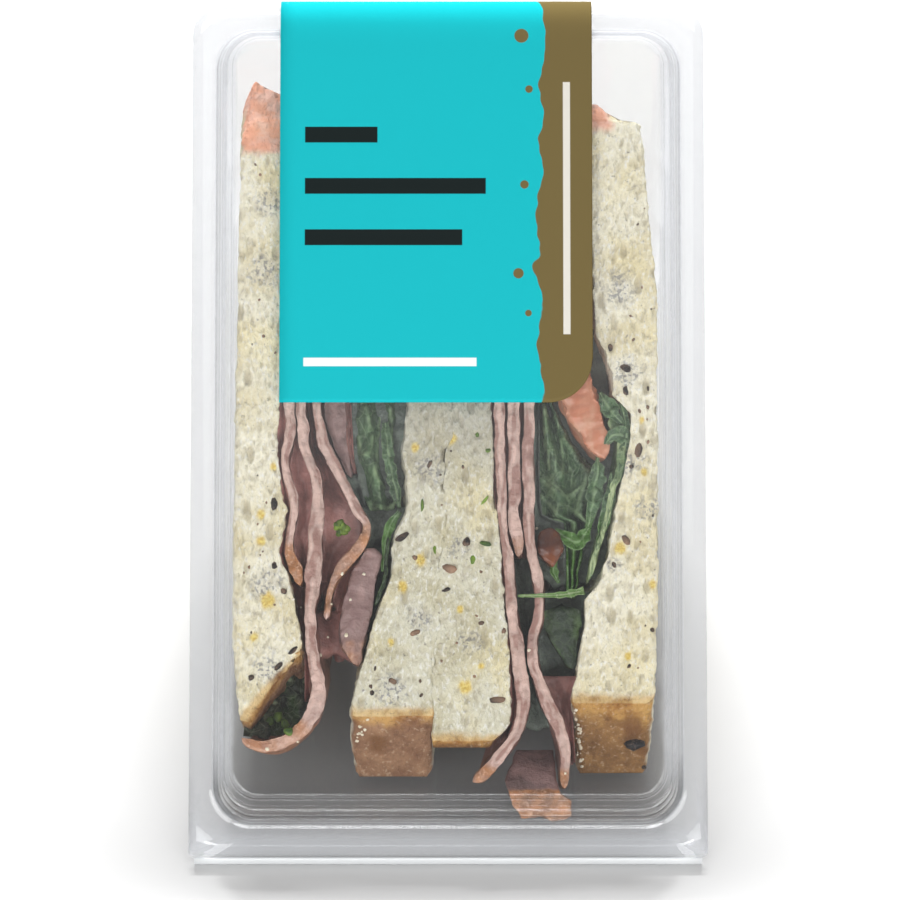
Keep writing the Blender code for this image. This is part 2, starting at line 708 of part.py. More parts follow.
def main():
    clear_scene()
    frame = pack_frame()
    make_tray(frame)
    make_lid(frame)
    make_label(frame)
    make_bread("bread_outer_left", OUTER_LEFT, frame)
    make_bread("bread_inner_left", INNER_LEFT, frame)
    make_bread("bread_inner_right", INNER_RIGHT, frame)
    make_bread("bread_outer_right", OUTER_RIGHT, frame)
    make_fillings(frame)
    stand(frame)


main()
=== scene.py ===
"""A packed bacon, lettuce and tomato sandwich, dressed over its solids.

The food and the pack are laid out in the window's own frame, in millimetres: u runs to the right,
v runs up the window and w comes out of it. place_points turns that into the part's frame in metres.
"""

import json
import math

import bmesh
import bpy
import numpy as np
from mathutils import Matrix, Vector
from mathutils.bvhtree import BVHTree

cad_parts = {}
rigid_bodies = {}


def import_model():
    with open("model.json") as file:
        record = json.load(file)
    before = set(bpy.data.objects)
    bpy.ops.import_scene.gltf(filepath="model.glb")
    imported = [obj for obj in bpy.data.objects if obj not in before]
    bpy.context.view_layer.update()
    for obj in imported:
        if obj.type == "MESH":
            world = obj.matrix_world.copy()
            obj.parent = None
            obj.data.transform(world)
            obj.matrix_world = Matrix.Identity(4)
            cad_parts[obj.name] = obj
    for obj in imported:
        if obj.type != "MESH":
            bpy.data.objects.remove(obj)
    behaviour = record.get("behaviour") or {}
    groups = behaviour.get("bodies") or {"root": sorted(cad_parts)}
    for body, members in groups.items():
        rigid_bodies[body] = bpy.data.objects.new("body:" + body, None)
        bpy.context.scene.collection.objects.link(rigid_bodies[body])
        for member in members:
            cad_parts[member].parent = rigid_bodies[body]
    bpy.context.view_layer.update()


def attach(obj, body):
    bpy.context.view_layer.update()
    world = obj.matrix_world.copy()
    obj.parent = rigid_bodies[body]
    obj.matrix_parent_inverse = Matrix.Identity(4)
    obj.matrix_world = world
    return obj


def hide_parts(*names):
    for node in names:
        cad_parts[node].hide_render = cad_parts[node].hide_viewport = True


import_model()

MM = 0.001

# The window leans back by this much, and its middle stands here over the part's origin
WINDOW_SLOPE = math.radians(41.7244)
FRAME_BACK = -0.000589
FRAME_RISE = 0.062035

# The pack
PACK_WIDTH = 109.4
FLANGE_TOP = 91.4
FLANGE_CORNER = 6.0
HINGE_CORNER = 1.2
WALL = 0.6
PARTING = 0.15
TRAY_MOUTH_WIDTH = 98.6
TRAY_MOUTH_STEP = 1.6
TRAY_LOW = -83.6
TRAY_HIGH = 86.2
TRAY_DRAFT = 0.035
TRAY_CORNER = 8.0
TRAY_CORNER_TAPER = 0.07
TRAY_FLOOR_END = 71.6
TRAY_DEPTH = 80.6
RIB_DEPTHS = (22.0, 34.0, 46.0, 58.0)
RIB_SECTION = ((-3.0, 0), (-1.6, 0.2), (-0.8, 0.7), (0.8, 0.7), (1.6, 0.2), (3.0, 0))
ROLL_RADIUS = 0.9
ROLL_V = -90.1
HINGE_GAP = 0.35
WINDOW_HEIGHT = 5.6
WINDOW_DOME = 0.10
CORNER_STEPS = 10
SIDE_STEPS = 21

# The label
LABEL_LEFT = -35.7
LABEL_RIGHT = 30.6
LABEL_LOW = 5.5
LABEL_CORNER = 9.6
LABEL_GAP = 0.12
LABEL_OUTWARDS = 0.1
LABEL_INWARDS = 0.08
BAND_LEFT = 19.4
BLUR = 0.1

# The sandwich
CUT_W = 4.0
LEVEL = -2.0
SETTLED_DEPTH = 45.0
EASED_FROM = 8.0
CORNER_DEPTH = 86.0
SEAM_GAP = 0.5
SEAM_BACK = -0.9
SEAM = ((60.0, 1.0), (5.5, 0.4), (-62.0, -3.4))
CRUST_ROUNDING = 2.2
HEEL_ROUNDING = 5.0
THINNEST_CRUMB = 0.6
LEFT_LEAF_LANE = -20.4
RIGHT_LEAF_LANE = 23.7

# The sides of a slice, and a distance that is more than any in the pack
FRONT, SIDE, BACK = range(3)
FAR = 99.0

OUTER_LEFT = {
    "cut": (-61.8, 60.8),
    "inner_cut": -47.5,
    "low_tip": (-64.0, -9.0),
    "inner_low_tip": (-53.0, -9.0),
    "high_tip": (76.3, -5.0),
    "corner": (-4.0, -77.0),
    "left": ((60.8, -44.0), (5.5, -45.0), (-44.0, -45.4), (-62.0, -43.8)),
    "left_back": -44.5,
    "right": (
        (60.8, -32.5), (20.0, -35.0), (5.5, -35.8), (-5.0, -36.4), (-11.5, -35.4), (-15.3, -35.0),
        (-17.2, -34.2), (-20.5, -34.6), (-23.2, -35.2), (-25.9, -36.0), (-28.0, -35.2), (-30.4, -34.0),
        (-35.9, -32.8), (-42.0, -31.5), (-47.0, -30.4),
    ),
    "right_back": -29.7,
}
INNER_LEFT = {
    "cut": (-60.5, 66.0),
    "low_tip": (-73.1, -8.5),
    "high_tip": (76.0, -6.0),
    "corner": (-2.0, -79.0),
    "left": (
        (60.0, -13.5), (20.0, -9.5), (5.5, -8.4), (-1.0, -9.1), (-4.7, -9.6), (-8.5, -9.0), (-12.3, -8.5),
        (-15.3, -8.3), (-18.0, -9.0), (-20.0, -10.2), (-23.0, -11.4), (-25.0, -12.0), (-27.4, -11.5),
        (-31.0, -11.9), (-36.0, -14.0), (-41.0, -15.6), (-48.0, -17.2), (-54.0, -19.4), (-59.0, -20.6),
    ),
    "left_back": -17.9,
    "right": tuple((v, u - SEAM_GAP / 2) for v, u in SEAM),
    "right_back": SEAM_BACK - SEAM_GAP / 2,
}
INNER_RIGHT = {
    "cut": (-65.9, 72.0),
    "low_tip": (-67.2, 2.0),
    "high_tip": (77.0, -4.0),
    "corner": (-2.0, -78.0),
    "left": tuple((v, u + SEAM_GAP / 2) for v, u in SEAM),
    "left_back": SEAM_BACK + SEAM_GAP / 2,
    "right": (
        (60.0, 12.5), (20.0, 9.5), (5.5, 9.1), (-12.8, 9.7), (-19.0, 10.4), (-25.0, 10.9), (-35.9, 11.8),
        (-49.3, 12.8), (-57.0, 13.2), (-62.0, 12.9), (-66.0, 10.0),
    ),
    "right_back": 15.0,
}
OUTER_RIGHT = {
    "cut": (-57.8, 65.6),
    "low_tip": (-72.3, -9.6),
    "high_tip": (70.6, -1.2),
    "corner": (-1.0, -79.0),
    "left": (
        (60.0, 29.5), (19.8, 31.4), (15.7, 33.6), (11.7, 34.8), (7.4, 34.9), (5.2, 37.0), (3.2, 38.9),
        (-1.0, 38.7), (-6.4, 37.8), (-9.6, 37.2), (-14.0, 35.9), (-18.3, 35.3), (-21.7, 34.6),
        (-27.4, 33.7), (-30.4, 32.5), (-33.2, 31.7), (-36.1, 28.9), (-40.6, 29.0), (-46.9, 27.8),
        (-52.5, 27.0), (-55.7, 25.9), (-72.0, 26.8),
    ),
    "left_back": 28.6,
    "right": ((65.2, 41.0), (42.7, 42.8), (30.0, 44.2), (-36.0, 44.2), (-56.0, 43.4), (-73.0, 42.2)),
    "right_back": 44.2,
    "bare_corner": ((52.0, 56.0), (34.0, 36.0)),
}

# The slices of ham on the cut: u, v and thickness down each one, and where they settle at the back
HAM_LEFT = (
    (
        (
            (-31.2, 55, 2.0), (-33.3, 20, 2.2), (-33.7, 5.5, 2.2), (-33.2, 0.9, 2.0),
            (-33.7, -2.6, 2.2), (-34.5, -6.9, 1.6), (-34.1, -9.8, 1.6), (-32.8, -14.2, 2.0),
            (-32.5, -17.2, 1.8), (-32.9, -19.5, 1.8), (-33.5, -23.2, 1.6), (-33.4, -26.5, 1.8),
            (-32.0, -29.7, 2.4), (-31.2, -33, 1.0),
        ),
        (-28.0, 2.0),
    ),
    (
        (
            (-27.8, 55, 2.0), (-30.2, 20, 2.2), (-31.0, 5.5, 2.0), (-30.6, 0.9, 2.2), (-30.4, -3, 2.0),
            (-28.7, -7.7, 2.0), (-27.8, -9.8, 2.2), (-27.6, -15.3, 2.2), (-27.9, -20.6, 2.5),
            (-28.4, -30.4, 3.0), (-28.6, -34, 3.0), (-29.2, -38.5, 2.2), (-28.6, -45.5, 2.3),
            (-27.5, -54.2, 3.0), (-28.0, -58.4, 3.2), (-30.0, -62.6, 2.8), (-33.4, -65.6, 2.5),
            (-38.0, -67.2, 2.3), (-41.8, -66.4, 1.6), (-43.4, -65.2, 0.8),
        ),
        (-25.5, 2.1),
    ),
    (
        (
            (-25.2, 55, 1.8), (-27.6, 20, 1.8), (-28.1, 5.5, 1.6), (-27.2, 0.9, 1.8), (-26.4, -3, 2.0),
            (-25.0, -5.6, 2.0), (-22.0, -11.5, 2.0), (-19.2, -16.9, 1.9), (-17.2, -20.0, 1.8),
            (-17.6, -22.8, 1.9), (-19.6, -26.0, 2.4), (-22.3, -29.1, 2.4), (-24.2, -32.1, 1.4),
            (-25.2, -35.9, 1.2), (-25.6, -40.2, 1.2),
        ),
        (-23.05, 2.0),
    ),
    (
        (
            (-15.3, -25.2, 3.2), (-17.6, -31.2, 5.2), (-18.5, -35, 5.7), (-19.4, -38.9, 6.0),
            (-20.2, -43.6, 5.2), (-20.0, -46.4, 4.2), (-18.9, -50, 1.2),
        ),
        (-20.2, 2.0),
    ),
    (
        (
            (-23.4, 40, 1.6), (-24.4, 14, 3.8), (-24.1, 5.5, 4.2), (-23.6, 0.9, 3.6), (-22.8, -3, 2.6),
            (-21.4, -7.3, 1.5), (-20.5, -9.8, 0.9),
        ),
        (-21.6, 0.2),
    ),
)
HAM_RIGHT = (
    (
        (
            (14.3, 55, 2.0), (11.5, 20, 2.1), (10.8, 5.5, 2.1), (10.9, -4.3, 2.0), (11.3, -15, 1.8),
            (11.9, -21.7, 1.6), (12.6, -27.4, 1.9), (13.3, -35.3, 2.1), (14.1, -42.7, 2.3),
            (15.1, -50.4, 2.5), (15.9, -57.2, 2.5), (15.2, -61.6, 2.3), (14.0, -64.8, 2.2),
            (12.3, -67.2, 2.1), (10.4, -69.4, 2.1), (8.6, -71.5, 2.1), (6.7, -73.2, 2.1),
            (5.2, -74.4, 1.2),
        ),
        (16.7, 1.9),
    ),
    (
        (
            (17.2, 55, 2.0), (14.6, 20, 2.2), (14.1, 5.5, 2.4), (13.9, -15, 2.2), (14.2, -20, 2.3),
            (14.8, -23.8, 2.0), (14.8, -27.0, 1.1),
        ),
        (19.1, 1.9),
    ),
    (
        (
            (20.0, 55, 2.0), (17.4, 20, 2.2), (17.0, 5.5, 2.2), (17.1, -15, 2.2), (17.2, -20, 2.2),
            (17.4, -23.8, 1.8), (18.1, -28.0, 1.8), (18.9, -32, 2.2), (19.4, -36.1, 1.8),
            (19.0, -40.6, 2.0), (17.8, -44.2, 2.0), (18.0, -48.5, 2.0), (18.9, -53.1, 2.0),
            (21.2, -58.4, 2.4), (23.4, -63.8, 2.3), (24.5, -68.3, 2.0), (24.5, -73.5, 1.8),
            (24.6, -75.8, 1.2),
        ),
        (21.5, 2.0),
    ),
)

# The broad fold of ham: for each height, the left and right edge and how far forward it lies
LOW_FOLD = (
    (-67.5, 14.6, 22.4, -5.0), (-71.0, 13.0, 22.6, -1.6), (-74.4, 12.0, 23.0, 1.0),
    (-76.8, 12.4, 23.4, 2.0), (-78.2, 12.8, 25.6, 2.2), (-79.8, 13.6, 26.0, 1.9),
    (-82.0, 15.0, 25.6, 1.5),
)

# The leaves that show as faces: for each height, the left and right edge
LEFT_LEAF = (
    (30, -20.0, -14.0), (14, -20.2, -11.6), (5.5, -20.8, -10.2), (-5, -20.2, -11.5),
    (-9.6, -19.1, -11.0), (-14, -18.0, -10.4), (-16.8, -16.8, -10.6),
)
RIGHT_LEAF = (
    (40, 20.6, 22.2), (33, 20.1, 21.4), (20, 19.4, 20.8), (14, 19.2, 22.0), (5.5, 19.1, 24.1),
    (-0.6, 19.2, 27.3), (-5.7, 19.1, 31.5), (-9, 19.1, 33.0), (-15, 19.4, 31.8), (-18, 19.8, 31.2),
    (-19.4, 24.4, 31.0), (-24, 24.8, 29.8), (-29, 24.9, 28.4), (-35.5, 25.0, 27.4),
)
# The creases of those leaves: the line each follows, its height and its width
LEFT_CREASES = (
    (((-14.4, 3.0), (-14.9, -2.3), (-15.5, -8.9), (-13.6, -11.9)), 1.3, 0.55),
    (((-12.3, 5.0), (-12.1, -1.1), (-11.9, -9.4)), 1.0, 0.45),
    (((-16.1, -1.1), (-16.6, -4.2), (-17.9, -5.1)), 0.8, 0.45),
    (((-16.8, -15.2), (-14.2, -16.2), (-11.9, -15.7), (-10.6, -14.0)), 1.5, 0.5),
    (((-10.6, -7.9), (-8.7, -13.4)), 0.7, 0.4),
    (((-19.1, -1.1), (-18.3, -4.2)), 0.6, 0.4),
    (((-17.4, 5.0), (-16.6, 1.0)), 0.8, 0.5),
)
RIGHT_CREASES = (
    (((24.2, -1.7), (24.4, -6.4), (24.0, -9.5)), 1.0, 0.45),
    (((19.8, -10.0), (22.6, -12.5), (25.3, -13.6), (29.1, -11.3)), 1.2, 0.4),
    (((20.4, -9.4), (23.4, -12.3), (25.7, -14.7)), 0.8, 0.35),
    (((19.6, -13.6), (22.3, -16.4), (23.6, -20.0)), 1.3, 0.5),
    (((25.9, -16.2), (29.8, -19.3), (31.0, -21.0)), 1.1, 0.55),
    (((24.0, -22.7), (25.9, -23.2), (29.1, -21.3)), 1.3, 0.4),
    (((30.4, -7.2), (28.4, -13.0), (27.4, -17.0)), 0.9, 0.6),
    (((24.2, -26.4), (23.8, -34.9)), 0.9, 0.4),
    (((21.3, -4.3), (21.6, -8.0)), 0.6, 0.4),
    (((29.4, -5.0), (28.6, -7.4), (29.8, -8.6)), 0.7, 0.35),
    (((20.5, 5.0), (20.9, -3.0)), 0.8, 0.5),
)
# The leaves that show as edges: u, v and thickness, with the u and thickness they reach at the back
LEFT_LOW_LEAF = (
    (
        (-12.5, -22.8, 0.6), (-12.9, -25.6, 0.6), (-13.4, -31, 0.7), (-14.5, -35.2, 0.6),
        (-15.3, -37.4, 0.4),
    ),
    (-18.5, 0.5),
)
RIGHT_LOW_LEAF = (
    (
        (24.0, -37.4, 6.4), (24.2, -41.6, 6.4), (24.7, -44.8, 5.2), (25.5, -48, 3.0),
        (26.2, -50.6, 1.2),
    ),
    (23.8, 1.2),
)
RIB_LEAF = (
    (
        (34.6, 3.0, 2.2), (35.8, 0.9, 2.8), (36.8, -1.8, 1.9), (36.6, -5, 1.7), (36.0, -9, 1.4),
        (35.0, -12, 1.2), (33.9, -16.8, 1.0), (32.7, -21.7, 1.0), (31.3, -26, 1.2), (30.6, -28.7, 1.8),
        (29.4, -32.4, 0.8),
    ),
    (27.9, 0.8),
)
TOMATO_SLICE = (
    (
        (23.8, 33, 3.0), (24.8, 19, 6.0), (27.5, 7.0, 7.0), (30.5, 0, 5.8), (32.4, -4, 3.4),
        (33.2, -6.2, 1.4),
    ),
    (26.3, 2.0),
)
TOMATO_BIT = (
    (
        (21.7, -20.8, 2.6), (21.5, -23.6, 4.6), (21.7, -26.4, 4.6), (22.1, -29.0, 2.4),
    ),
    (23.1, 0.6),
)

# Loose blades of leaf: u, v, w and half width along each, and how far each turns to the right
BLADES = (
    (((33.0, -3.5, 3.4, 0.3), (34.9, -1.2, 3.7, 1.2), (37.6, -1.5, 3.5, 1.4), (38.7, -3.2, 3.2, 0.4)), 25),
    (((32.2, 8.0, 2.6, 0.5), (33.6, 5.6, 3.2, 1.6), (35.4, 3.0, 3.6, 1.5), (36.9, 1.4, 3.4, 0.4)), -20),
    (((31.6, -5.6, 2.4, 0.5), (31.4, -9.5, 2.2, 1.5),
      (30.6, -15.0, 1.6, 1.6), (29.6, -20.5, 1.2, 0.6)), 20),
    (((14.7, -35.3, 4.3, 0.25), (20.4, -35.2, 4.5, 0.5),
      (24.4, -35.0, 4.2, 0.7), (28.7, -34.1, 3.2, 0.9)), 0),
    (((22.6, -21.0, 1.0, 0.5), (25.2, -23.0, 1.8, 1.6),
      (27.6, -23.6, 1.8, 1.7), (30.0, -20.5, 1.0, 0.5)), 10),
    (((22.8, -27.6, 0.6, 0.4), (22.4, -30.0, 1.0, 0.9), (23.4, -32.4, 0.8, 0.4)), 30),
    (((-13.4, 2.0, -1.0, 0.8), (-12.4, -6.0, -0.6, 1.2),
      (-11.2, -12.0, -0.6, 1.3), (-10.2, -16.4, 0.2, 0.5)), -25),
    (((36.4, 6.0, 2.6, 0.4), (37.7, 1.0, 3.1, 1.0), (37.3, -5.0, 3.0, 1.0), (36.2, -11.0, 2.6, 0.5)), 12),
    (((34.6, -9.0, 2.2, 0.4), (34.2, -14.0, 2.6, 1.0),
      (32.9, -19.5, 2.4, 1.0), (31.6, -24.5, 2.0, 0.4)), 15),
    (((-10.2, -17.2, 1.6, 0.5), (-12.4, -20.4, 2.0, 1.1),
      (-13.4, -25.0, 1.8, 0.7), (-13.8, -30.0, 1.6, 0.4)), 15),
)


def place_points(points):
    """Points of the window's frame, in millimetres, as points of the part's frame, in metres."""
    points = np.asarray(points, float) * MM
    lean, rise = math.cos(WINDOW_SLOPE), math.sin(WINDOW_SLOPE)
    u, v, w = points[..., 0], points[..., 1], points[..., 2]
    return np.stack([u, v * lean - w * rise + FRAME_BACK, v * rise + w * lean + FRAME_RISE], axis=-1)


def at(u, v, w):
    """Points, from a number or an array for each of their coordinates."""
    return np.stack(np.broadcast_arrays(u, v, w), axis=-1)


def scaled(colour, share):
    """The colour, brighter or darker by that share."""
    return tuple(min(1.0, share * part) for part in colour)


def mix(a, b, share):
    return a + (b - a) * share


def ease(t):
    t = np.clip(t, 0.0, 1.0)
    return t * t * (3 - 2 * t)


def band(x, low, high):
    """0 below low, 1 above high and a smooth step between. low may be the larger one."""
    return ease((x - low) / (high - low))


def settle(depth):
    """How far what starts on the cut has moved to its lane at the back, from 0 to 1."""
    return ease(depth / SETTLED_DEPTH)


def narrowing(depth):
    """The share of its height that a slice keeps at a depth, as it runs to its corner."""
    return np.maximum(1 - np.maximum(depth - EASED_FROM, 0) / (CORNER_DEPTH - EASED_FROM), 0.15)


def sunk(v, depth):
    """The v and w, at a depth behind the cut, of what stands at that v on the cut."""
    return LEVEL + (v - LEVEL) * narrowing(depth), CUT_W - depth


def read(profile, x):
    """Reads a profile, pairs of (x, value), at an array of x."""
    xs, values = zip(*sorted(profile))
    return np.interp(x, xs, values)


def smooth_path(points, count):
    """A smooth curve through the points, read at count places evenly along its first two axes."""
    known = np.array(points, float)
    padded = np.vstack([2 * known[0] - known[1], known, 2 * known[-1] - known[-2]])
    dense = []
    for k in range(len(known) - 1):
        a, b, c, d = padded[k : k + 4]
        for t in np.linspace(0, 1, 12, endpoint=False):
            bend = 2 * b + (c - a) * t + (2 * a - 5 * b + 4 * c - d) * t * t
            dense.append((bend + (3 * b - a - 3 * c + d) * t**3) / 2)
    dense = np.array([*dense, known[-1]])
    run = np.concatenate([[0], np.cumsum(np.linalg.norm(np.diff(dense[:, :2], axis=0), axis=1))])
    wanted = np.linspace(0, run[-1], count)
    return np.stack([np.interp(wanted, run, dense[:, k]) for k in range(dense.shape[1])], axis=1)


def lattice(ix, iy, iz, seed):
    """A fixed random value from -1 to 1 for each point of a whole-number grid."""
    mixed = ix * 73856093 ^ iy * 19349663 ^ iz * 83492791 ^ seed * 2654435761
    mixed = (mixed ^ (mixed >> 13)) * 1274126177 & 0xFFFFFFFF
    mixed = (mixed ^ (mixed >> 15)) * 2246822519 & 0xFFFFFFFF
    return ((mixed ^ (mixed >> 16)) & 0xFFFFFF) / 8388608.0 - 1.0


def noise(points, size, seed):
    """Smooth noise from about -1 to 1, whose lumps are about size across. size may be three sizes."""
    place = np.asarray(points, float) / np.asarray(size, float)
    cell = np.floor(place).astype(np.int64)
    part = place - cell
    part = part * part * part * (part * (part * 6 - 15) + 10)
    x, y, z = cell[..., 0], cell[..., 1], cell[..., 2]
    fx, fy, fz = part[..., 0], part[..., 1], part[..., 2]
    total = 0
    for dx in (0, 1):
        for dy in (0, 1):
            for dz in (0, 1):
                share = (fx if dx else 1 - fx) * (fy if dy else 1 - fy) * (fz if dz else 1 - fz)
                total = total + share * lattice(x + dx, y + dy, z + dz, seed)
    return total


def rough(points, size, octaves, seed):
    """Layers of noise from about -1 to 1, each half the size of the one before."""
    total, weight, reach = 0, 1.0, 0
    for k in range(octaves):
        total = total + weight * noise(points, np.asarray(size, float) / 2**k, seed + 7 * k)
        reach += weight
        weight *= 0.55
    return total / reach


def new_mesh(name, points, faces):
    mesh = bpy.data.meshes.new(name)
    mesh.from_pydata(place_points(points).tolist(), [], faces)
    mesh.update()
    return mesh


def add_piece(name, mesh, material, slot, *replaced):
    """Puts a mesh in the scene as a piece that rides with the pack."""
    piece = bpy.data.objects.new(name, mesh)
    bpy.context.scene.collection.objects.link(piece)
    mesh.materials.append(material)
    mesh.shade_smooth()
    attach(piece, "root")
    if replaced:
        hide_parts(*replaced)
    return piece


def set_values(mesh, name, values):
    store = mesh.attributes.new(name, "FLOAT", "POINT")
    store.data.foreach_set("value", np.ascontiguousarray(values, dtype=np.float32).ravel())


def loop_faces(rows, size, closed=True):
    """Quads between rows of points, round each row if closed, with both ends filled if closed."""
    k = np.arange(size if closed else size - 1)
    after = (k + 1) % size
    faces = []
    for row in range(rows - 1):
        a = row * size
        faces.append(np.stack([a + k, a + after, a + size + after, a + size + k], axis=1))
    faces = np.concatenate(faces).tolist()
    if closed:
        faces.append(list(range(size))[::-1])
        faces.append(list(range((rows - 1) * size, rows * size)))
    return faces


def outward(points, faces):
    """The faces, turned round if they enclose a negative volume."""
    corners = np.array([face[:4] for face in faces if len(face) == 4])
    a, b, c, d = (points[corners[:, k]] - points.mean(axis=0) for k in range(4))
    volume = np.einsum("ij,ij->i", a, np.cross(b, c) + np.cross(c, d)).sum()
    return faces if volume > 0 else [face[::-1] for face in faces]


def add_loops(name, grid, material, slot, *replaced, **values):
    """Puts rows of closed loops in the scene as a piece, with the values that its material reads."""
    flat = grid.reshape(-1, 3)
    mesh = new_mesh(name, flat, outward(flat, loop_faces(*grid.shape[:2])))
    for key, value in values.items():
        set_values(mesh, key, np.broadcast_to(value, grid.shape[:2]))
    return add_piece(name, mesh, material, slot, *replaced)


def normals_of(grid, closed=False):
    """Unit normals of rows of points, where each row may close on itself."""
    along = np.gradient(grid, axis=0)
    if closed:
        across = np.roll(grid, -1, axis=1) - np.roll(grid, 1, axis=1)
    else:
        across = np.gradient(grid, axis=1)
    normal = np.cross(across, along)
    normal /= np.maximum(np.linalg.norm(normal, axis=2, keepdims=True), 1e-9)
    return normal


class Nodes:
    """Short calls for building a material's nodes."""

    def __init__(self, name):
        self.material = bpy.data.materials.new(name)
        self.material.use_nodes = True
        self.tree = self.material.node_tree
        self.tree.nodes.clear()
        self.output = self.tree.nodes.new("ShaderNodeOutputMaterial")

    def add(self, kind, **values):
        node = self.tree.nodes.new(kind)
        for key, value in values.items():
            if key in node.inputs:
                self.fill(node.inputs[key], value)
            else:
                setattr(node, key, value)
        return node

    def fill(self, slot, value):
        if hasattr(value, "is_output"):
            self.tree.links.new(value, slot)
        else:
            slot.default_value = value

    def math(self, operation, a, b):
        node = self.add("ShaderNodeMath", operation=operation)
        self.fill(node.inputs[0], a)
        self.fill(node.inputs[1], b)
        return node.outputs[0]

    def value(self, name):
        return self.add("ShaderNodeAttribute", attribute_name=name).outputs["Fac"]

    def place(self):
        return self.add("ShaderNodeTexCoord").outputs["Object"]

    def noise(self, scale, detail=3.0, roughness=0.55, where=None, stretch=None):
        where = where or self.place()
        if stretch:
            where = self.add("ShaderNodeMapping", Vector=where, Scale=stretch).outputs[0]
        looks = {"Scale": scale, "Detail": detail, "Roughness": roughness}
        return self.add("ShaderNodeTexNoise", Vector=where, **looks).outputs["Fac"]

    def ramp(self, factor, *stops):
        node = self.tree.nodes.new("ShaderNodeValToRGB")
        self.tree.links.new(factor, node.inputs[0])
        ramp = node.color_ramp
        while len(ramp.elements) < len(stops):
            ramp.elements.new(0.5)
        for element, (position, colour) in zip(ramp.elements, stops):
            element.position = position
            element.color = (*colour, 1)
        return node.outputs[0]

    def blend(self, factor, a, b):
        node = self.add("ShaderNodeMix", data_type="RGBA")
        for slot, value in zip((0, 6, 7), (factor, a, b)):
            self.fill(node.inputs[slot], (*value, 1) if isinstance(value, tuple) else value)
        return node.outputs[2]

    def steps(self, factor, low, high):
        """A smooth step from 0 at low to 1 at high."""
        span = {"Value": factor, "From Min": low, "From Max": high}
        return self.add("ShaderNodeMapRange", interpolation_type="SMOOTHSTEP", **span).outputs[0]

    def bump(self, height, strength, distance, normal=None):
        node = self.add("ShaderNodeBump", Height=height, Strength=strength, Distance=distance)
        if normal:
            self.tree.links.new(normal, node.inputs["Normal"])
        return node.outputs[0]

    def surface(self, shader):
        self.tree.links.new(shader.outputs[0], self.output.inputs["Surface"])
        return self.material

    def lay(self, below, colour, share, mask, *edges):
        """Lays a colour over another where the mask, or its smooth step between two edges, is high."""
        if edges:
            mask = self.steps(mask, *edges)
        return self.blend(self.math("MULTIPLY", mask, share), below, colour)

    def mixed(self, share, one, other):
        node = self.tree.nodes.new("ShaderNodeMixShader")
        for slot, value in zip(node.inputs, (share, one.outputs[0], other.outputs[0])):
            self.tree.links.new(value, slot)
        return node

    def principled(self, colour, roughness, gloss, relief=None):
        values = {"Base Color": colour, "Roughness": roughness, "Specular IOR Level": gloss}
        if relief:
            values["Normal"] = relief
        return self.surface(self.add("ShaderNodeBsdfPrincipled", **values))


def bread_material(name, cream, shade, brown, tan):
    """Pale open crumb with yellow kernels, and a baked crust that is orange where it was cut. The crumb
    carries painted shade: darker in its pits and holes, and below the label's lower edge.
    """
    n = Nodes(name)
    tall = (1.0, 0.55, 0.55)
    broad = n.noise(85.0, 3.0)
    warm = n.noise(60.0, 2.0, 0.5, stretch=(1.3, 1.0, 1.0))
    fine = n.noise(1500.0, 4.0, 0.7, stretch=tall)
    holes = n.noise(640.0, 3.0, 0.6, stretch=tall)
    dots = n.noise(1250.0, 2.0, 0.5)
    grain = n.noise(2100.0, 2.0, 0.6)
    crumb = n.blend(n.steps(broad, 0.42, 0.66), cream, shade)
    crumb = n.lay(crumb, (0.98, 0.86, 0.50), 0.6, warm, 0.50, 0.72)
    crumb = n.lay(crumb, (1.0, 0.99, 0.94), 0.75, fine, 0.5, 0.66)
    crumb = n.lay(crumb, (0.66, 0.60, 0.45), 0.4, fine, 0.44, 0.3)
    # Painted shade: the holes and the pits of the crumb are coloured darker, for the shade inside them
    crumb = n.lay(crumb, (0.50, 0.44, 0.30), 0.6, holes, 0.43, 0.32)
    crumb = n.lay(crumb, (0.46, 0.40, 0.27), 0.75, n.value("pore"))
    crumb = n.lay(crumb, (0.26, 0.23, 0.20), 0.7, dots, 0.34, 0.24)
    ash = n.math("MULTIPLY", n.value("ash"), n.steps(dots, 0.49, 0.60))
    crumb = n.lay(crumb, (0.13, 0.13, 0.15), 0.65, ash)
    crumb = n.lay(crumb, (0.52, 0.52, 0.56), 0.14, n.value("ash"))
    # Painted shade: the crumb darkens towards the label's lower edge, in place of the label's shadow
    crumb = n.lay(crumb, (0.36, 0.35, 0.31), 0.55, n.value("damp"))
    kernel = n.blend(n.steps(grain, 0.4, 0.65), (0.72, 0.47, 0.05), (0.96, 0.78, 0.22))
    crumb = n.blend(n.value("kernel"), crumb, kernel)
    patches = n.noise(200.0, 5.0, 0.65)
    specks = n.noise(1100.0, 3.0, 0.6)
    crust = n.ramp(patches, (0.32, brown), (0.68, tan))
    baked = n.ramp(patches, (0.38, (0.40, 0.17, 0.035)), (0.58, (0.74, 0.43, 0.13)))
    golden = n.ramp(patches, (0.38, (0.52, 0.31, 0.11)), (0.58, (0.86, 0.64, 0.32)))
    baked = n.blend(n.steps(n.value("rim"), 0.86, 0.97), baked, golden)
    crust = n.lay(crust, baked, 0.9, n.value("rim"))
    crust = n.lay(crust, (0.74, 0.56, 0.38), 0.4, specks, 0.55, 0.7)
    crust = n.lay(crust, (0.12, 0.06, 0.035), 0.45, specks, 0.42, 0.3)
    salmon = n.blend(n.steps(patches, 0.4, 0.62), (0.93, 0.44, 0.29), (0.95, 0.58, 0.47))
    crust = n.lay(crust, (0.20, 0.085, 0.028), 0.8, n.value("ash"))
    crust = n.blend(n.value("top"), crust, salmon)
    colour = n.blend(n.value("crust"), crumb, crust)
    relief = n.bump(fine, 0.8, 0.0006)
    relief = n.bump(holes, 0.8, 0.0012, relief)
    return n.principled(colour, 0.85, 0.25, relief)


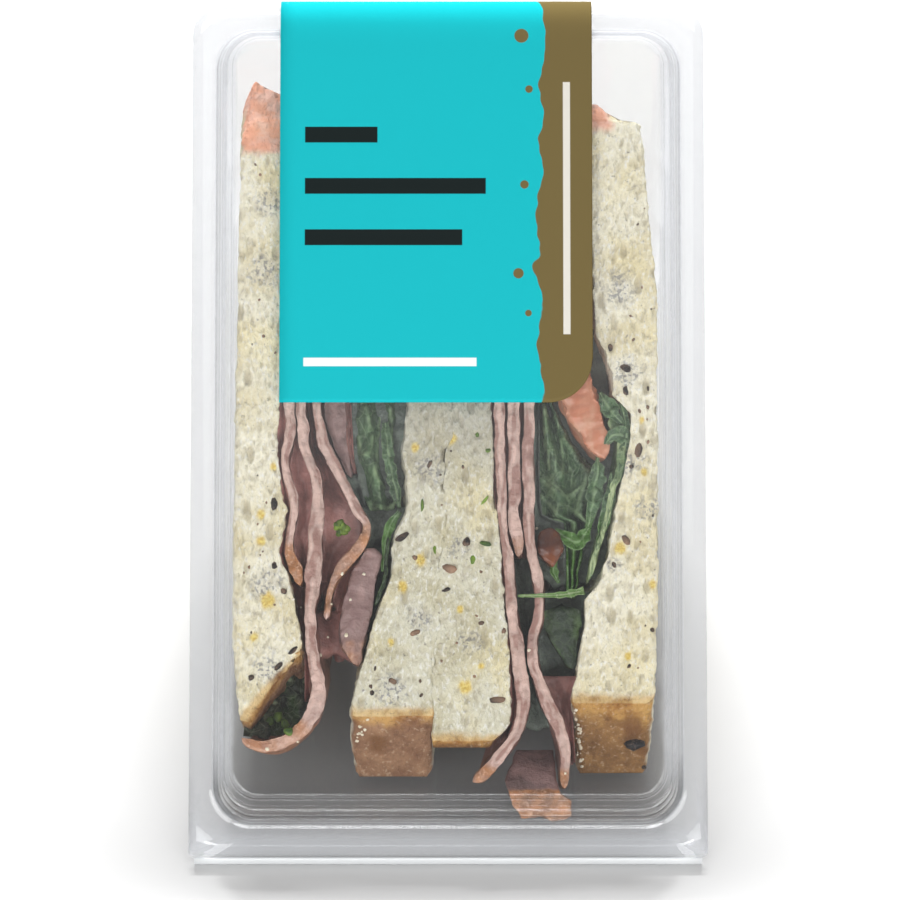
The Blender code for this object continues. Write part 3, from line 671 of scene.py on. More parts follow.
def ham_material(name, edge, flesh, rind):
    """Ham: pale and fibrous where it was cut, darker on its broad sides, browned along its rind."""
    n = Nodes(name)
    fibre = n.noise(520.0, 4.0, 0.65)
    blotch = n.noise(150.0, 3.0, 0.6)
    wet = n.noise(1500.0, 2.0, 0.6)
    side = n.blend(n.steps(blotch, 0.35, 0.68), flesh, scaled(flesh, 0.5))
    side = n.lay(side, edge, 0.4, fibre, 0.55, 0.8)
    # Lengthwise grain, with painted shade: each edge is lighter on one side and darker on the other
    streak = n.value("streak")
    pale = scaled(edge, 1.36)
    front = n.lay(edge, pale, 0.7, streak, 0.50, 0.85)
    front = n.lay(front, flesh, 0.75, streak, 0.48, 0.15)
    front = n.lay(front, pale, 0.4, fibre, 0.5, 0.72)
    front = n.lay(front, scaled(edge, 0.62), 0.55, blotch, 0.48, 0.3)
    front = n.lay(front, flesh, 0.4, wet, 0.42, 0.3)
    colour = n.blend(n.value("edge"), side, front)
    browned = n.blend(n.steps(n.noise(300.0, 3.0), 0.35, 0.7), rind, scaled(rind, 0.45))
    browned = n.lay(browned, (0.80, 0.50, 0.34), 0.6, wet, 0.52, 0.66)
    colour = n.blend(n.value("rind"), colour, browned)
    relief = n.bump(wet, 0.4, 0.0004)
    relief = n.bump(fibre, 0.5, 0.0010, relief)
    return n.principled(colour, 0.36, 0.5, relief)


def bread_layout(shape, rows, fronts, sides, backs):
    """Rows of closed loops round a slice: v, w, share across, distance to the crust, and its side."""
    x = np.linspace(0, 1, sides, endpoint=False)
    deep = 0.72 * x**1.5 + 0.28 * (1 - (1 - x) ** 2.5)
    over, back = np.linspace(0, 1, fronts, endpoint=False), np.linspace(1, 0, backs, endpoint=False)
    share = np.concatenate([over, np.ones(sides), back, np.zeros(sides)])
    depth = np.concatenate([np.zeros(fronts), deep, np.ones(backs), deep[::-1]])
    kind = np.repeat([FRONT, SIDE, BACK, SIDE], [fronts, sides, backs, sides])
    t = np.linspace(0.0, 1.0, rows)[:, None]
    share, depth, kind = (np.broadcast_to(each, (rows, each.size)) for each in (share, depth, kind))
    low_cut, high_cut = shape["cut"]
    low_cut = mix(low_cut, shape.get("inner_cut", low_cut), share)
    inner_tip = shape.get("inner_low_tip", shape["low_tip"])
    low_v, low_w = (mix(a, b, share) for a, b in zip(shape["low_tip"], inner_tip))
    tip_v, tip_w = shape["high_tip"]
    corner_v, corner_w = shape["corner"]
    v = mix(low_v + 0.05, tip_v - 0.05, t)
    low_end = mix(low_w, CUT_W, np.clip((v - low_v) / (low_cut - low_v), 0, 1))
    high_end = mix(CUT_W, tip_w, np.clip((v - high_cut) / (tip_v - high_cut), 0, 1))
    front_w = np.where(v < low_cut, low_end, np.where(v > high_cut, high_end, CUT_W))
    floor_w = low_w + (corner_w - low_w) / (corner_v - low_v) * (v - low_v)
    roof_w = tip_w + (corner_w - tip_w) / (corner_v - tip_v) * (v - tip_v)
    back_w = (floor_w + roof_w) / 2 + np.hypot((floor_w - roof_w) / 2, HEEL_ROUNDING)
    back_w = np.minimum(back_w, front_w - THINNEST_CRUMB)
    w = mix(front_w, back_w, depth)
    ends = (
        (low_cut, CUT_W, low_v, low_w),
        (low_v, low_w, corner_v, corner_w),
        (corner_v, corner_w, tip_v, tip_w),
        (tip_v, tip_w, high_cut, CUT_W),
    )
    inside = np.full(v.shape, FAR)
    for a_v, a_w, b_v, b_w in ends:
        run_v, run_w = b_v - a_v, b_w - a_w
        size = run_v * run_v + run_w * run_w
        part = np.clip(((v - a_v) * run_v + (w - a_w) * run_w) / size, 0, 1)
        inside = np.minimum(inside, np.hypot(v - a_v - part * run_v, w - a_w - part * run_w))
    inside = np.minimum(inside, np.maximum(w - back_w, 0) * 0.75)
    return v, w, share, inside, kind


def side_u(shape, key, v, w):
    """The u of a slice's left or right side at each place."""
    depth = CUT_W - w
    on_cut = LEVEL + (v - LEVEL) / narrowing(depth)
    return mix(read(shape[key], on_cut), shape[key + "_back"], settle(depth))


def scatter_pits(points, allowed, count, sizes, seed, stretch):
    """How deep random rounded pits are at each point."""
    rng = np.random.default_rng(seed)
    flat = points.reshape(-1, 3)
    spots = flat[rng.choice(np.flatnonzero(allowed.ravel()), count)] + rng.normal(0, 0.15, (count, 3))
    radii = sizes[0] + (sizes[1] - sizes[0]) * rng.random(count) ** 2.0
    depth = np.zeros(len(flat))
    scaled_points = flat / stretch
    for spot, radius in zip(spots / stretch, radii):
        near = np.flatnonzero(np.abs(scaled_points[:, 1] - spot[1]) < radius)
        gap = np.linalg.norm(scaled_points[near] - spot, axis=1) / radius
        depth[near] = np.maximum(depth[near], np.sqrt(np.clip(1 - gap**2, 0, 1)) * radius)
    return depth.reshape(points.shape[:2])


def blotches(points, spots, tall, lumps, outer, inner, seed):
    """How far inside the nearest of some ragged round spots each point is, from 0 to 1."""
    ragged = 0.3 * noise(points, lumps, seed)
    found = np.zeros(points.shape[:2])
    for u, v, size in spots:
        gap = np.hypot((points[..., 0] - u) / size, (points[..., 1] - v) / (size * tall))
        found = np.maximum(found, band(gap + ragged, outer, inner))
    return found


def make_bread(name, shape, material, seed, kernels, ash, pressed=None, rim=0.0, crest=None):
    """One slice of bread: pitted crumb on its cut and sides, and crust along its short edges.

    pressed is the side, if any, that is pushed against the next slice with no gap, rim is how much
    further the orange of the crust's cut edge runs back, and crest gives for each u how high the
    slice stands at its top.
    """
    rows, fronts, sides = ((284, 46, 46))
    v, w, share, inside, kind = bread_layout(shape, rows, fronts, sides, 8)
    left = side_u(shape, "left", v, w)
    right = side_u(shape, "right", v, w)
    on_front = (kind == FRONT) & (w > CUT_W - 0.01)
    near = np.clip(CRUST_ROUNDING - inside, 0, CRUST_ROUNDING)
    inset = CRUST_ROUNDING - np.sqrt(np.maximum(CRUST_ROUNDING**2 - near**2, 0))
    inset = np.where(on_front, np.minimum(inset, 0.25), inset)
    edge = at(0, v, w)
    ragged, torn = (
        0.30 * noise(edge, 2.4, seed + k) + 0.16 * noise(edge, 0.9, seed + k + 1) for k in (40, 42)
    )
    left = left + inset + (ragged if pressed != "left" else 0)
    right = right - inset + (torn if pressed != "right" else 0)
    if pressed:
        meander = 0.9 * noise(edge * [0, 1, 0], 6.0, 5) + 0.3 * noise(edge * [0, 1, 0], 1.5, 6)
        closing = band(w, -8.0, 2.0)
        if pressed == "right":
            right = right + inset * closing + closing * (meander + SEAM_GAP / 2)
        else:
            left = left - inset * closing + closing * (meander - SEAM_GAP / 2)
    points = at(mix(left, np.maximum(right, left + 0.5), share), v, w)
    if crest:
        high_cut, tip = shape["cut"][1], shape["high_tip"][0]
        across = points * [1, 0, 0.3]
        ragged = 0.7 * noise(across, 1.6, seed + 50) + 0.4 * noise(across, 0.7, seed + 51)
        top = np.maximum(read(crest, points[..., 0]) + ragged, high_cut + 0.3)
        above = np.clip((v - high_cut) / (tip - high_cut), 0, 1)
        points[..., 1] += above * (np.minimum(top, tip) - tip)
    normal = normals_of(points, closed=True)
    if normal[rows // 2, 5, 2] < 0:
        normal = -normal
    crust = band(inside + 0.45 * noise(points, 2.5, seed) + 0.4 * noise(points, 0.9, seed + 2), 2.5, 0.6)
    crust = np.where((kind == BACK) | ((kind == FRONT) & ~on_front), 1.0, crust)
    if "bare_corner" in shape:
        bare_v, bare_u = shape["bare_corner"]
        crust = crust * (1 - band(points[..., 1], *bare_v) * band(points[..., 0] + ragged, *bare_u))
    crumb = crust < 0.35
    pits = scatter_pits(points, crumb, 1900, (0.2, 0.7), seed, (0.8, 1.5, 0.9))
    pits = np.maximum(pits, scatter_pits(points, crumb, 90, (0.7, 1.35), seed + 1, (0.7, 1.6, 0.7)))
    tiny = band(noise(points, (0.7, 1.1, 0.7), seed + 3), 0.1, 0.7)
    wave = rough(points, 7.0, 2, seed + 5)
    rise = 0.10 * wave + (1 - crust) * (-0.6 * pits - 0.2 * tiny + 0.10)
    rise += crust * (0.08 * rough(points, 1.6, 3, seed + 9) + 0.10 * noise(points, 9.0, seed + 11))
    points = points + normal * rise[..., None]
    points[:, -1] = mix(points[:, -2], points[:, 0], 0.5)
    yellow = blotches(points, kernels, 1.2, 0.9, 1.15, 0.5, seed + 21) * (points[..., 2] > CUT_W - 3)
    # Painted shade on the middle slices, strongest at the label's lower edge and fading below it
    damp = band(v + 2.0 * noise(points, 5.0, seed + 33), -22.0, 6.0) ** 1.5
    damp = damp * band(np.abs(points[..., 0]), 24.0, 16.0)
    reach = 1.4 * noise(points, 4.0, seed + 15) + 0.7 * noise(points, 1.2, seed + 16)
    # Towards the right edge of the right slice the crust's own orange runs further back, partly as painted
    # light shining through the crust
    reach += rim * (1 + 1.4 * band(points[..., 0], 34.0, 42.0))
    top = band(v, 45.0, 56.0) * band(w, -16.0, -6.0)
    return add_loops(
        name, points, material, "bread", name.replace("slice", "bread"),
        crust=crust,
        # painted shade inside the pits
        pore=np.clip(0.75 * pits + 0.3 * tiny, 0, 1) * (1 - crust),
        kernel=yellow * 0.85,
        ash=blotches(points, ash, 1.0, 2.0, 1.2, 0.4, seed + 31),
        damp=damp,
        rim=np.where(on_front, 1.0, 0.85 * band(w + reach, 1.2, 4.2)),
        top=top * (0.86 + 0.12 * noise(points, 5.0, seed + 13)),
    )


def layer_grid(piece, rows, columns, front, reach, end_reach, turned):
    """The middle of a filling's slice as a grid of points, and its thickness there."""
    line, (lane, lane_thickness) = piece
    path = smooth_path(line, rows)
    u, v, thick = (path[:, k][:, None] for k in range(3))
    run = np.linspace(0, 1, rows)[:, None]
    deepest = mix(reach, end_reach, ease(2 * run - 1))
    if turned is not None:
        deepest = mix(deepest, 10.0, ease((turned - v) / 5 + 1))
    t = np.linspace(0, 1, columns)[None, :]
    depth = mix(CUT_W - front, deepest, t**1.8)
    back = settle(depth)
    return at(mix(u, lane, back), *sunk(v, depth)), mix(thick, lane_thickness, back), path


def make_layer(
    name, piece, material, slot, replaced, front, reach, seed,
    end_reach=None, turned=None, rinds=(), pitch=0.4, tip=0.9, uneven=1.0,
):
    """A slice of filling: its cut edge in front, and two broad sides that run back between the bread.

    front is the height of its edge, reach how deep it goes, end_reach how deep its lower end goes,
    turned the v under which it hardly goes in, and rinds the browned stretches of its edge.
    """
    length = np.linalg.norm(np.diff(np.array(piece[0])[:, :2], axis=0), axis=1).sum()
    rows = max(int(length / (pitch * 1.0)), 12)
    centre, thick, path = layer_grid(piece, rows, 26, front, reach, end_reach or reach, turned)
    normal = normals_of(centre)
    lumps = 0.17 * noise(centre, 3.4, seed) + 0.10 * noise(centre, 1.1, seed + 1)
    thick = thick * (1.08 + uneven * lumps)
    wobble = 0.24 * noise(centre, 4.5, seed + 2) + 0.09 * noise(centre, 1.5, seed + 3)
    centre = centre + normal * wobble[..., None]
    centre[:, 0, 2] += 0.22 * noise(centre[:, 0] * [1, 1, 0], 2.2, seed + 5)
    runs = np.linspace(0, length, rows)
    taper = np.sqrt(np.clip(np.minimum(runs / 0.9, (length - runs) / tip), 0.03, 1))
    half = (0.5 * thick * taper[:, None])[..., None]
    edge_half = half[:, 0, 0]
    across = np.linspace(-1, 1, 9)
    loops = []
    for a in across:
        bumps = 0.22 * noise(centre[:, 0] + [a * 1.3, 0, 0], 0.9, seed + 6)
        point = centre[:, 0] + normal[:, 0] * (a * edge_half)[:, None]
        point[:, 2] += (0.12 + 0.22 * edge_half) * (1 - a * a) + bumps - 0.15
        loops.append(point)
    loops += list((centre + normal * half)[:, 1:].swapaxes(0, 1))
    loops += list((centre - normal * half)[:, :0:-1].swapaxes(0, 1))
    grid = np.stack(loops, axis=1)
    cut = np.s_[:, : len(across)]
    lengthwise = at(across, runs[:, None], 0)
    lines = noise(lengthwise, (0.7, 5.0, 1.0), seed + 7)
    lines += 0.5 * noise(lengthwise, (0.4, 1.6, 1.0), seed + 9)
    edge, rims, rind = np.zeros((3, *grid.shape[:2]))
    edge[cut] = 1.0
    edge[:, [len(across), -1]] = 0.4
    rims[cut] = band(np.abs(across), 0.45, 0.95) * band(lines, -0.35, 0.25)
    streak = np.full(grid.shape[:2], 0.5)
    # Lengthwise grain, plus painted shade that makes one side of each edge lighter than the other
    streak[cut] = np.clip(0.5 + 0.6 * lines - 0.12 * across, 0, 1)
    for low, high, strength in rinds:
        here = band(path[:, 1], low - 2, low) * band(path[:, 1], high + 2, high)
        rind = np.maximum(rind, (here * strength)[:, None] * band(grid[..., 2], -9, 1))
    rind = np.clip(rind + 0.3 * noise(grid, 1.6, seed + 8) * (rind > 0.05), 0, 1)
    values = {"edge": edge, "rind": rind, "streak": streak, "vein": rims}
    return add_loops(name, grid, material, slot, *replaced, **values)


def make_breads():
    outer = ((0.98, 0.93, 0.74), (0.86, 0.77, 0.51))
    inner = ((0.80, 0.77, 0.61), (0.66, 0.61, 0.42))
    browned = ((0.22, 0.105, 0.055), (0.42, 0.235, 0.13))
    golden = ((0.16, 0.075, 0.028), (0.38, 0.20, 0.07))
    make_bread(
        "slice_outer_left", OUTER_LEFT, bread_material("crumb_outer_left", *outer, *browned), 11,
        kernels=(
            (-38.0, -36.3, 1.7), (-39.5, -18.1, 1.1), (-39.5, -23.6, 1.0), (-41.0, -44.0, 0.9),
            (-37.0, -8.0, 0.8),
        ),
        ash=((-38, -33, 4), (-38, -50, 4), (-39, 34, 4), (-38, 48, 3.5)),
        rim=3.0,
        crest=((-44.4, 70.6), (-43.4, 72.6), (-41.4, 76.3), (-38.5, 74.4), (-35.7, 73.0), (-32.0, 72.5)),
    )
    make_bread(
        "slice_inner_left", INNER_LEFT, bread_material("crumb_inner_left", *inner, *browned), 23,
        kernels=((-7.0, -3.8, 1.0), (-5.7, -27.8, 1.3), (-9.6, -33.4, 1.2), (-12.0, -45.0, 0.8)),
        ash=((-4.5, -8, 4), (-12, -55, 4), (-6, -40, 3), (-15.0, -66.0, 2.4)),
        pressed="right",
    )
    make_bread(
        "slice_inner_right", INNER_RIGHT, bread_material("crumb_inner_right", *inner, *golden), 37,
        kernels=((0.6, -1.9, 1.3), (3.6, -54.6, 1.5), (2.5, -38.0, 0.8), (7.0, -50.0, 0.7)),
        ash=((3, -25, 3), (5, -45, 3)),
        pressed="left",
    )
    make_bread(
        "slice_outer_right", OUTER_RIGHT, bread_material("crumb_outer_right", *outer, *golden), 53,
        kernels=(
            (36.3, -25.3, 1.4), (43.2, -32.9, 1.0), (41.5, -9.0, 0.9), (38.0, -48.0, 0.9), (41.0, 2.0, 0.8),
        ),
        ash=(
            (42, -17, 3), (39, -7, 3), (38, 12, 4), (36, 30, 4), (35, -29, 2), (38.8, -62.4, 2.6),
            (41.5, -67.5, 1.6),
        ),
        rim=1.6,
        crest=((29.0, 70.6), (31.5, 70.4), (33.2, 69.0), (34.6, 67.2), (36.5, 66.4), (44.0, 66.8)),
    )


def leaf_material(name, dark, light, vein):
    """Dark green leaf, paler along its veins and creases; on the creases that paleness is partly painted
    highlight.
    """
    n = Nodes(name)
    tone = n.blend(n.steps(n.noise(220.0, 3.0), 0.35, 0.68), dark, light)
    tone = n.lay(tone, (0.075, 0.20, 0.018), 0.8, n.value("vivid"))
    cells = n.add("ShaderNodeTexVoronoi", Vector=n.place(), Scale=380.0, feature="DISTANCE_TO_EDGE")
    net = cells.outputs["Distance"]
    tone = n.lay(tone, vein, 0.25, net, 0.06, 0.0)
    tone = n.blend(n.value("vein"), tone, vein)
    strands = n.noise(900.0, 3.0, 0.6, stretch=(1.6, 0.35, 0.35))
    pale = n.math("MULTIPLY", n.value("rind"), n.steps(strands, 0.36, 0.6))
    tone = n.blend(pale, tone, (0.50, 0.60, 0.32))
    relief = n.bump(net, 0.35, 0.0004)
    relief = n.bump(n.noise(700.0, 4.0, 0.65), 0.7, 0.0012, relief)
    return n.principled(tone, 0.27, 0.5, relief)


def flesh_material(name, dark, light):
    """Tomato: red flesh with paler streaks."""
    n = Nodes(name)
    streaks = n.noise(180.0, 4.0, 0.6, stretch=(1.6, 0.7, 0.7))
    tone = n.blend(n.steps(streaks, 0.35, 0.7), dark, light)
    tone = n.lay(tone, scaled(dark, 0.3), 0.85, n.value("rind"))
    relief = n.bump(n.noise(500.0, 3.0), 0.35, 0.0007)
    return n.principled(tone, 0.3, 0.5, relief)


def toned_material(name, low, high, roughness):
    """Small bits whose tone differs from one to the next."""
    n = Nodes(name)
    tone = n.blend(n.value("tone"), low, high)
    speck = n.noise(1500.0, 2.0)
    tone = n.lay(tone, scaled(high, 1.3), 0.15, speck, 0.5, 0.7)
    return n.principled(tone, roughness, 0.3, n.bump(speck, 0.4, 0.0003))


def closed_sheet(centre, half):
    """Rows of closed loops round a sheet that thins out to nothing at its two long edges."""
    normal = normals_of(centre)
    if normal[..., 2].mean() < 0:
        normal = -normal
    s_across = np.linspace(-1, 1, centre.shape[1])
    s_along = np.linspace(-1, 1, centre.shape[0])[:, None]
    taper = np.sqrt(np.maximum(1 - s_across**12, 0.02)) * np.sqrt(np.maximum(1 - s_along**20, 0.02))
    shift = normal * (half * taper)[..., None]
    return np.concatenate([centre + shift, (centre - shift)[:, ::-1]], axis=1)


def both_faces(values):
    """The values of a sheet's points, for the loops of closed_sheet."""
    return np.concatenate([values, values[:, ::-1]], axis=1)


def crease_lift(points, creases):
    """How much the creases raise each point, and how close each point is to one."""
    lift, close = np.zeros((2, *points.shape[:2]))
    for line, height, width in creases:
        path = smooth_path(line, 40)
        gap = np.full(lift.shape, FAR)
        for a, b in zip(path, path[1:]):
            run = b - a
            t = np.clip(((points[..., :2] - a) @ run) / (run @ run), 0, 1)
            gap = np.minimum(gap, np.linalg.norm(points[..., :2] - a - t[..., None] * run, axis=2))
        lift = np.maximum(lift, height * np.exp(-((gap / (width * 1.5)) ** 2)))
        close = np.maximum(close, np.exp(-((gap / (width * 0.6)) ** 2)))
    return lift, close


def make_leaf(name, rows, lane, waves, swing, creases, material, seed):
    """A leaf that comes forward between the layers and spreads across the cut in creased waves."""
    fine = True
    high, low = rows[0][0], rows[-1][0]
    v = np.linspace(high, low, int((high - low) / (0.4 if fine else 0.8)))
    left = read([(row[0], row[1]) for row in rows], v) + 0.4
    right = read([(row[0], row[2]) for row in rows], v) - 0.4
    depths = np.linspace(50.0, 10.0, 14)
    columns = [at(mix(left, lane, settle(depth)), *sunk(v, depth)) for depth in depths]
    frills = 0.45 * noise(at(0, v, 0), 2.0, seed + 1)
    for t in np.linspace(0, 1, 76 if fine else 34):
        phase = 2 * math.pi * (waves * t + 0.013 * v)
        columns.append(at(mix(left, right + frills, t), v, -1.6 - swing * np.cos(phase) - 3.0 * t * t))
    centre = np.stack(columns, axis=1)
    front = band(centre[..., 2], -8.0, -4.0)
    lift, close = crease_lift(centre, creases)
    folds = 1 - np.abs(noise(centre, (2.2, 6.0, 9.0), seed + 8)) * 2
    wrinkles = 1 - np.abs(noise(centre, (0.9, 2.0, 3.0), seed + 9)) * 2
    bumps = rough(centre, 2.6, 3, seed + 3)
    centre[..., 2] += front * (lift + 0.6 * folds + 0.22 * wrinkles + 0.45 * bumps)
    rim = np.zeros(centre.shape[:2])
    rim[:, -3:] = 0.7
    rim[-3:, len(depths) :] = 0.7
    # Creases and fold crests are painted pale, partly as veins and partly as painted highlight on the ridges
    vein = np.maximum(np.maximum(0.85 * close, 0.45 * band(folds, 0.8, 0.97)) * front, rim)
    vein = np.clip(vein * (0.62 + 0.6 * noise(centre, 1.3, seed + 4)), 0, 1)
    vivid = band(centre[..., 1] + 1.5 * noise(centre, 4.0, seed + 5), -19.0, -24.0)
    grid = closed_sheet(centre, 0.17)
    values = {"vein": both_faces(vein), "vivid": both_faces(vivid)}
    return add_loops(name, grid, material, "leaf", name.replace("leaf", "lettuce"), **values)


def make_blade(name, line, turn, material, seed):
    """A narrow loose blade of leaf with a middle vein and curled edges."""
    path = smooth_path(line, 70)
    spine, half = path[:, :3], path[:, 3]
    facing = np.array([math.sin(math.radians(turn)), 0, math.cos(math.radians(turn))])
    across = np.cross(np.gradient(spine, axis=0), facing)
    across /= np.linalg.norm(across, axis=1, keepdims=True)
    s = np.linspace(-1, 1, 17)
    ragged = 1 + 0.4 * noise(spine, 1.3, seed)
    centre = spine[:, None] + across[:, None] * (s[None, :, None] * (half * ragged)[:, None, None])
    curl = half[:, None] * (0.35 * s * s + 0.55 * noise(centre, 1.3, seed + 2))
    centre = centre + facing * (curl + 0.12 * np.exp(-((s / 0.15) ** 2)))[..., None]
    grid = closed_sheet(centre, 0.14)
    vein = np.maximum(0.8 * np.exp(-((s / 0.14) ** 2)), 0.45 * band(np.abs(s), 0.85, 0.97))
    vein = both_faces(vein * (0.6 + 0.4 * noise(centre, 1.5, seed + 3)))
    return add_loops(name, grid, material, "leaf", vein=vein, vivid=band(grid[..., 1], -16.0, -22.0))


def make_pocket(material):
    """Crumpled leaf in the pocket between the left slice's lower crust and the curl of ham."""
    along, across = np.linspace(0, 1, 60)[:, None], np.linspace(0, 1, 40)[None, :, None]
    upper = smooth_path(((-30.6, -46.0), (-33.2, -50.6), (-38.0, -56.6), (-43.2, -62.0)), 60)
    lower = smooth_path(((-29.4, -57.0), (-31.0, -61.0), (-36.2, -65.0), (-43.4, -64.6)), 60)
    flat = mix(upper[:, None], lower[:, None], across)
    u, v = flat[..., 0], flat[..., 1]
    centre = at(u, v, -4.2 + 2.2 * noise(at(u, v, 0), 2.6, 611) - 3.0 * (1 - along))
    centre[..., 2] += 0.7 * noise(centre, 1.2, 613)
    grid = closed_sheet(centre, 0.2)
    vein = 0.8 * band(noise(grid, (1.6, 1.6, 3.0), 615), 0.45, 0.7)
    vivid = 0.4 * band(noise(grid, 3.0, 617), 0.0, 0.6)
    return add_loops("leaf_pocket", grid, material, "dark_leaf", vein=vein, vivid=vivid)


def make_salad():
    leaf = leaf_material("leaf_face", (0.05, 0.09, 0.048), (0.09, 0.17, 0.075), (0.36, 0.50, 0.27))
    # Painted shade: leaf_dark is a much darker copy of the leaf's colours, for the leaf edges lying deep in
    # the filling
    dark = leaf_material("leaf_dark", (0.02, 0.035, 0.018), (0.035, 0.06, 0.025), (0.10, 0.17, 0.06))
    stem = leaf_material("leaf_stem", (0.08, 0.14, 0.06), (0.17, 0.26, 0.11), (0.42, 0.52, 0.28))
    stalk = leaf_material("leaf_stalk", (0.34, 0.44, 0.22), (0.42, 0.52, 0.28), (0.60, 0.66, 0.42))
    make_leaf("leaf_left", LEFT_LEAF, LEFT_LEAF_LANE, 1.6, 1.5, LEFT_CREASES, leaf, 201)
    make_leaf("leaf_right", RIGHT_LEAF, RIGHT_LEAF_LANE, 2.2, 1.8, RIGHT_CREASES, leaf, 231)
    make_layer("leaf_left_low", LEFT_LOW_LEAF, dark, "dark_leaf", ("lettuce_left_low",), 3.4, 16, 251)
    make_layer("leaf_right_low", RIGHT_LOW_LEAF, dark, "dark_leaf", ("lettuce_right_low",), 1.4, 30, 261)
    make_layer(
        "leaf_right_rib", RIB_LEAF, stem, "leaf_rib", ("lettuce_right_rib",), 3.2, 12, 271,
        rinds=((-40, -13, 0.95), (-4, -1, 0.5)), pitch=0.3, tip=9.0, uneven=0.9,
    )
    for k, (line, turn) in enumerate(BLADES):
        make_blade(f"leaf_blade_{k + 1}", line, turn, stalk if k == 3 else leaf, 300 + 9 * k)
    # Painted shade: the crumpled leaf in the pocket takes darker, greyer leaf colours for the pocket's shade
    make_pocket(leaf_material("leaf_wet", (0.035, 0.045, 0.03), (0.07, 0.085, 0.05), (0.30, 0.36, 0.22)))
    flesh = flesh_material("tomato_flesh", (0.56, 0.20, 0.105), (0.62, 0.34, 0.22))
    make_layer("flesh_slice", TOMATO_SLICE, flesh, "tomato", ("tomato_slice",), 3.6, 13, 281)
    cooked = flesh_material("tomato_skin", (0.09, 0.022, 0.01), (0.26, 0.07, 0.015))
    make_layer(
        "flesh_bit", TOMATO_BIT, cooked, "tomato", ("tomato_bit",), 3.0, 10, 291,
        rinds=((-24.0, -18.0, 0.9),), pitch=0.3, tip=3.0, uneven=1.8,
    )


def make_fold(material):
    """The broad fold of ham at the bottom right, with its rind along the lower edge."""
    v, left, right, forward = (np.array(column, float)[::-1] for column in zip(*LOW_FOLD))
    heights = np.linspace(v[-1], v[0], 60)[:, None]
    t = np.linspace(0, 1, 60)[None, :]
    frills = 0.5 * noise(at(0, heights, 0), 1.6, 77)
    u = mix(np.interp(heights, v, left) + frills, np.interp(heights, v, right) + frills * 0.6, t)
    drop = np.where(heights < -79, 0.7 * noise(at(u, 0, 0), 2.0, 78), 0)
    centre = at(u, heights + drop, np.interp(heights, v, forward) - 0.7 * np.sin(math.pi * t))
    centre[..., 2] += 0.25 * rough(centre, 3.0, 2, 79)
    grid = closed_sheet(centre, 0.55)
    rind = band(grid[..., 1] + 0.5 * noise(grid, 1.5, 80), -75.6, -76.6) * 0.95
    add_loops("slice_ham_right_4", grid, material, "lean_ham", "ham_right_4", edge=0, rind=rind)


def make_ham():
    """The slices of ham. Each row gives the height of a slice's edge, how deep it goes, and its rinds."""
    ham = ham_material("ham", (0.56, 0.39, 0.335), (0.32, 0.15, 0.12), (0.52, 0.22, 0.08))
    lean = ham_material("lean_ham", (0.30, 0.19, 0.175), (0.27, 0.16, 0.15), (0.52, 0.22, 0.08))
    left = (
        (3.6, 60, ((-33, -25, 0.9),)), (4.4, 60, ((-70, -63, 0.6),)), (4.1, 60, ((-38, -21, 0.7),)),
        (2.6, 26, ((-50, -46, 0.35),)), (1.2, 22, ()),
    )
    right = ((4.3, 36, ((-76, -72, 0.7),)), (3.9, 60, ((-28, -24, 0.5),)), (4.2, 26, ((-77, -73, 0.8),)))
    for k, (piece, (front, reach, rinds)) in enumerate(zip(HAM_LEFT, left)):
        node = f"ham_left_{k + 1}"
        looks, slot = (ham, "ham") if k < 3 else (lean, "lean_ham")
        make_layer(
            f"slice_{node}", piece, looks, slot, (node,), front, reach, 40 + 9 * k,
            turned=-61.0 if k == 1 else None, rinds=rinds,
        )
    for k, (piece, (front, end_reach, rinds)) in enumerate(zip(HAM_RIGHT, right)):
        node = f"ham_right_{k + 1}"
        make_layer(
            f"slice_{node}", piece, ham, "ham", (node,), front, 60, 90 + 9 * k,
            end_reach=end_reach, rinds=rinds,
        )
    make_fold(lean)


def edge_at(edge, v, depth):
    """The u of a slice's side at that height on the cut and that depth."""
    line, lane = edge
    return mix(read(line, v), lane, settle(depth))


def make_web(name, one, other, high, low, depth, material, slot, seed):
    """A bend of filling that closes the gap between two neighbours some way in from the cut."""
    v = np.linspace(high, low, max(int((high - low) / 0.9), 8))[:, None]
    t = np.linspace(0, 1, 17)[None, :]
    place = at(t * 6, v, 0)
    deep = depth + 1.6 * noise(place, 9.0, seed) + 0.5 * noise(place, 1.8, seed + 1)
    deep = deep + 1.6 * np.sin(math.pi * t)
    deep = deep + 14 * band(v + 2.5 * noise(place, 3.0, seed + 2), low + 5.0, low - 1.0) ** 2
    u = mix(edge_at(one, v, deep) + 0.02, edge_at(other, v, deep) + 0.1, t)
    grid = closed_sheet(at(u, *sunk(v, deep)), 0.2)
    return add_loops(name, grid, material, slot, edge=0, rind=0, vein=0.15, vivid=0)


def side_of(piece, way):
    """A slice's own side as an edge: its line moved out by half its thickness, and its lane."""
    line, (lane, thick) = piece
    return [(row[1], row[0] + way * row[2] / 2) for row in line], lane + way * thick / 2


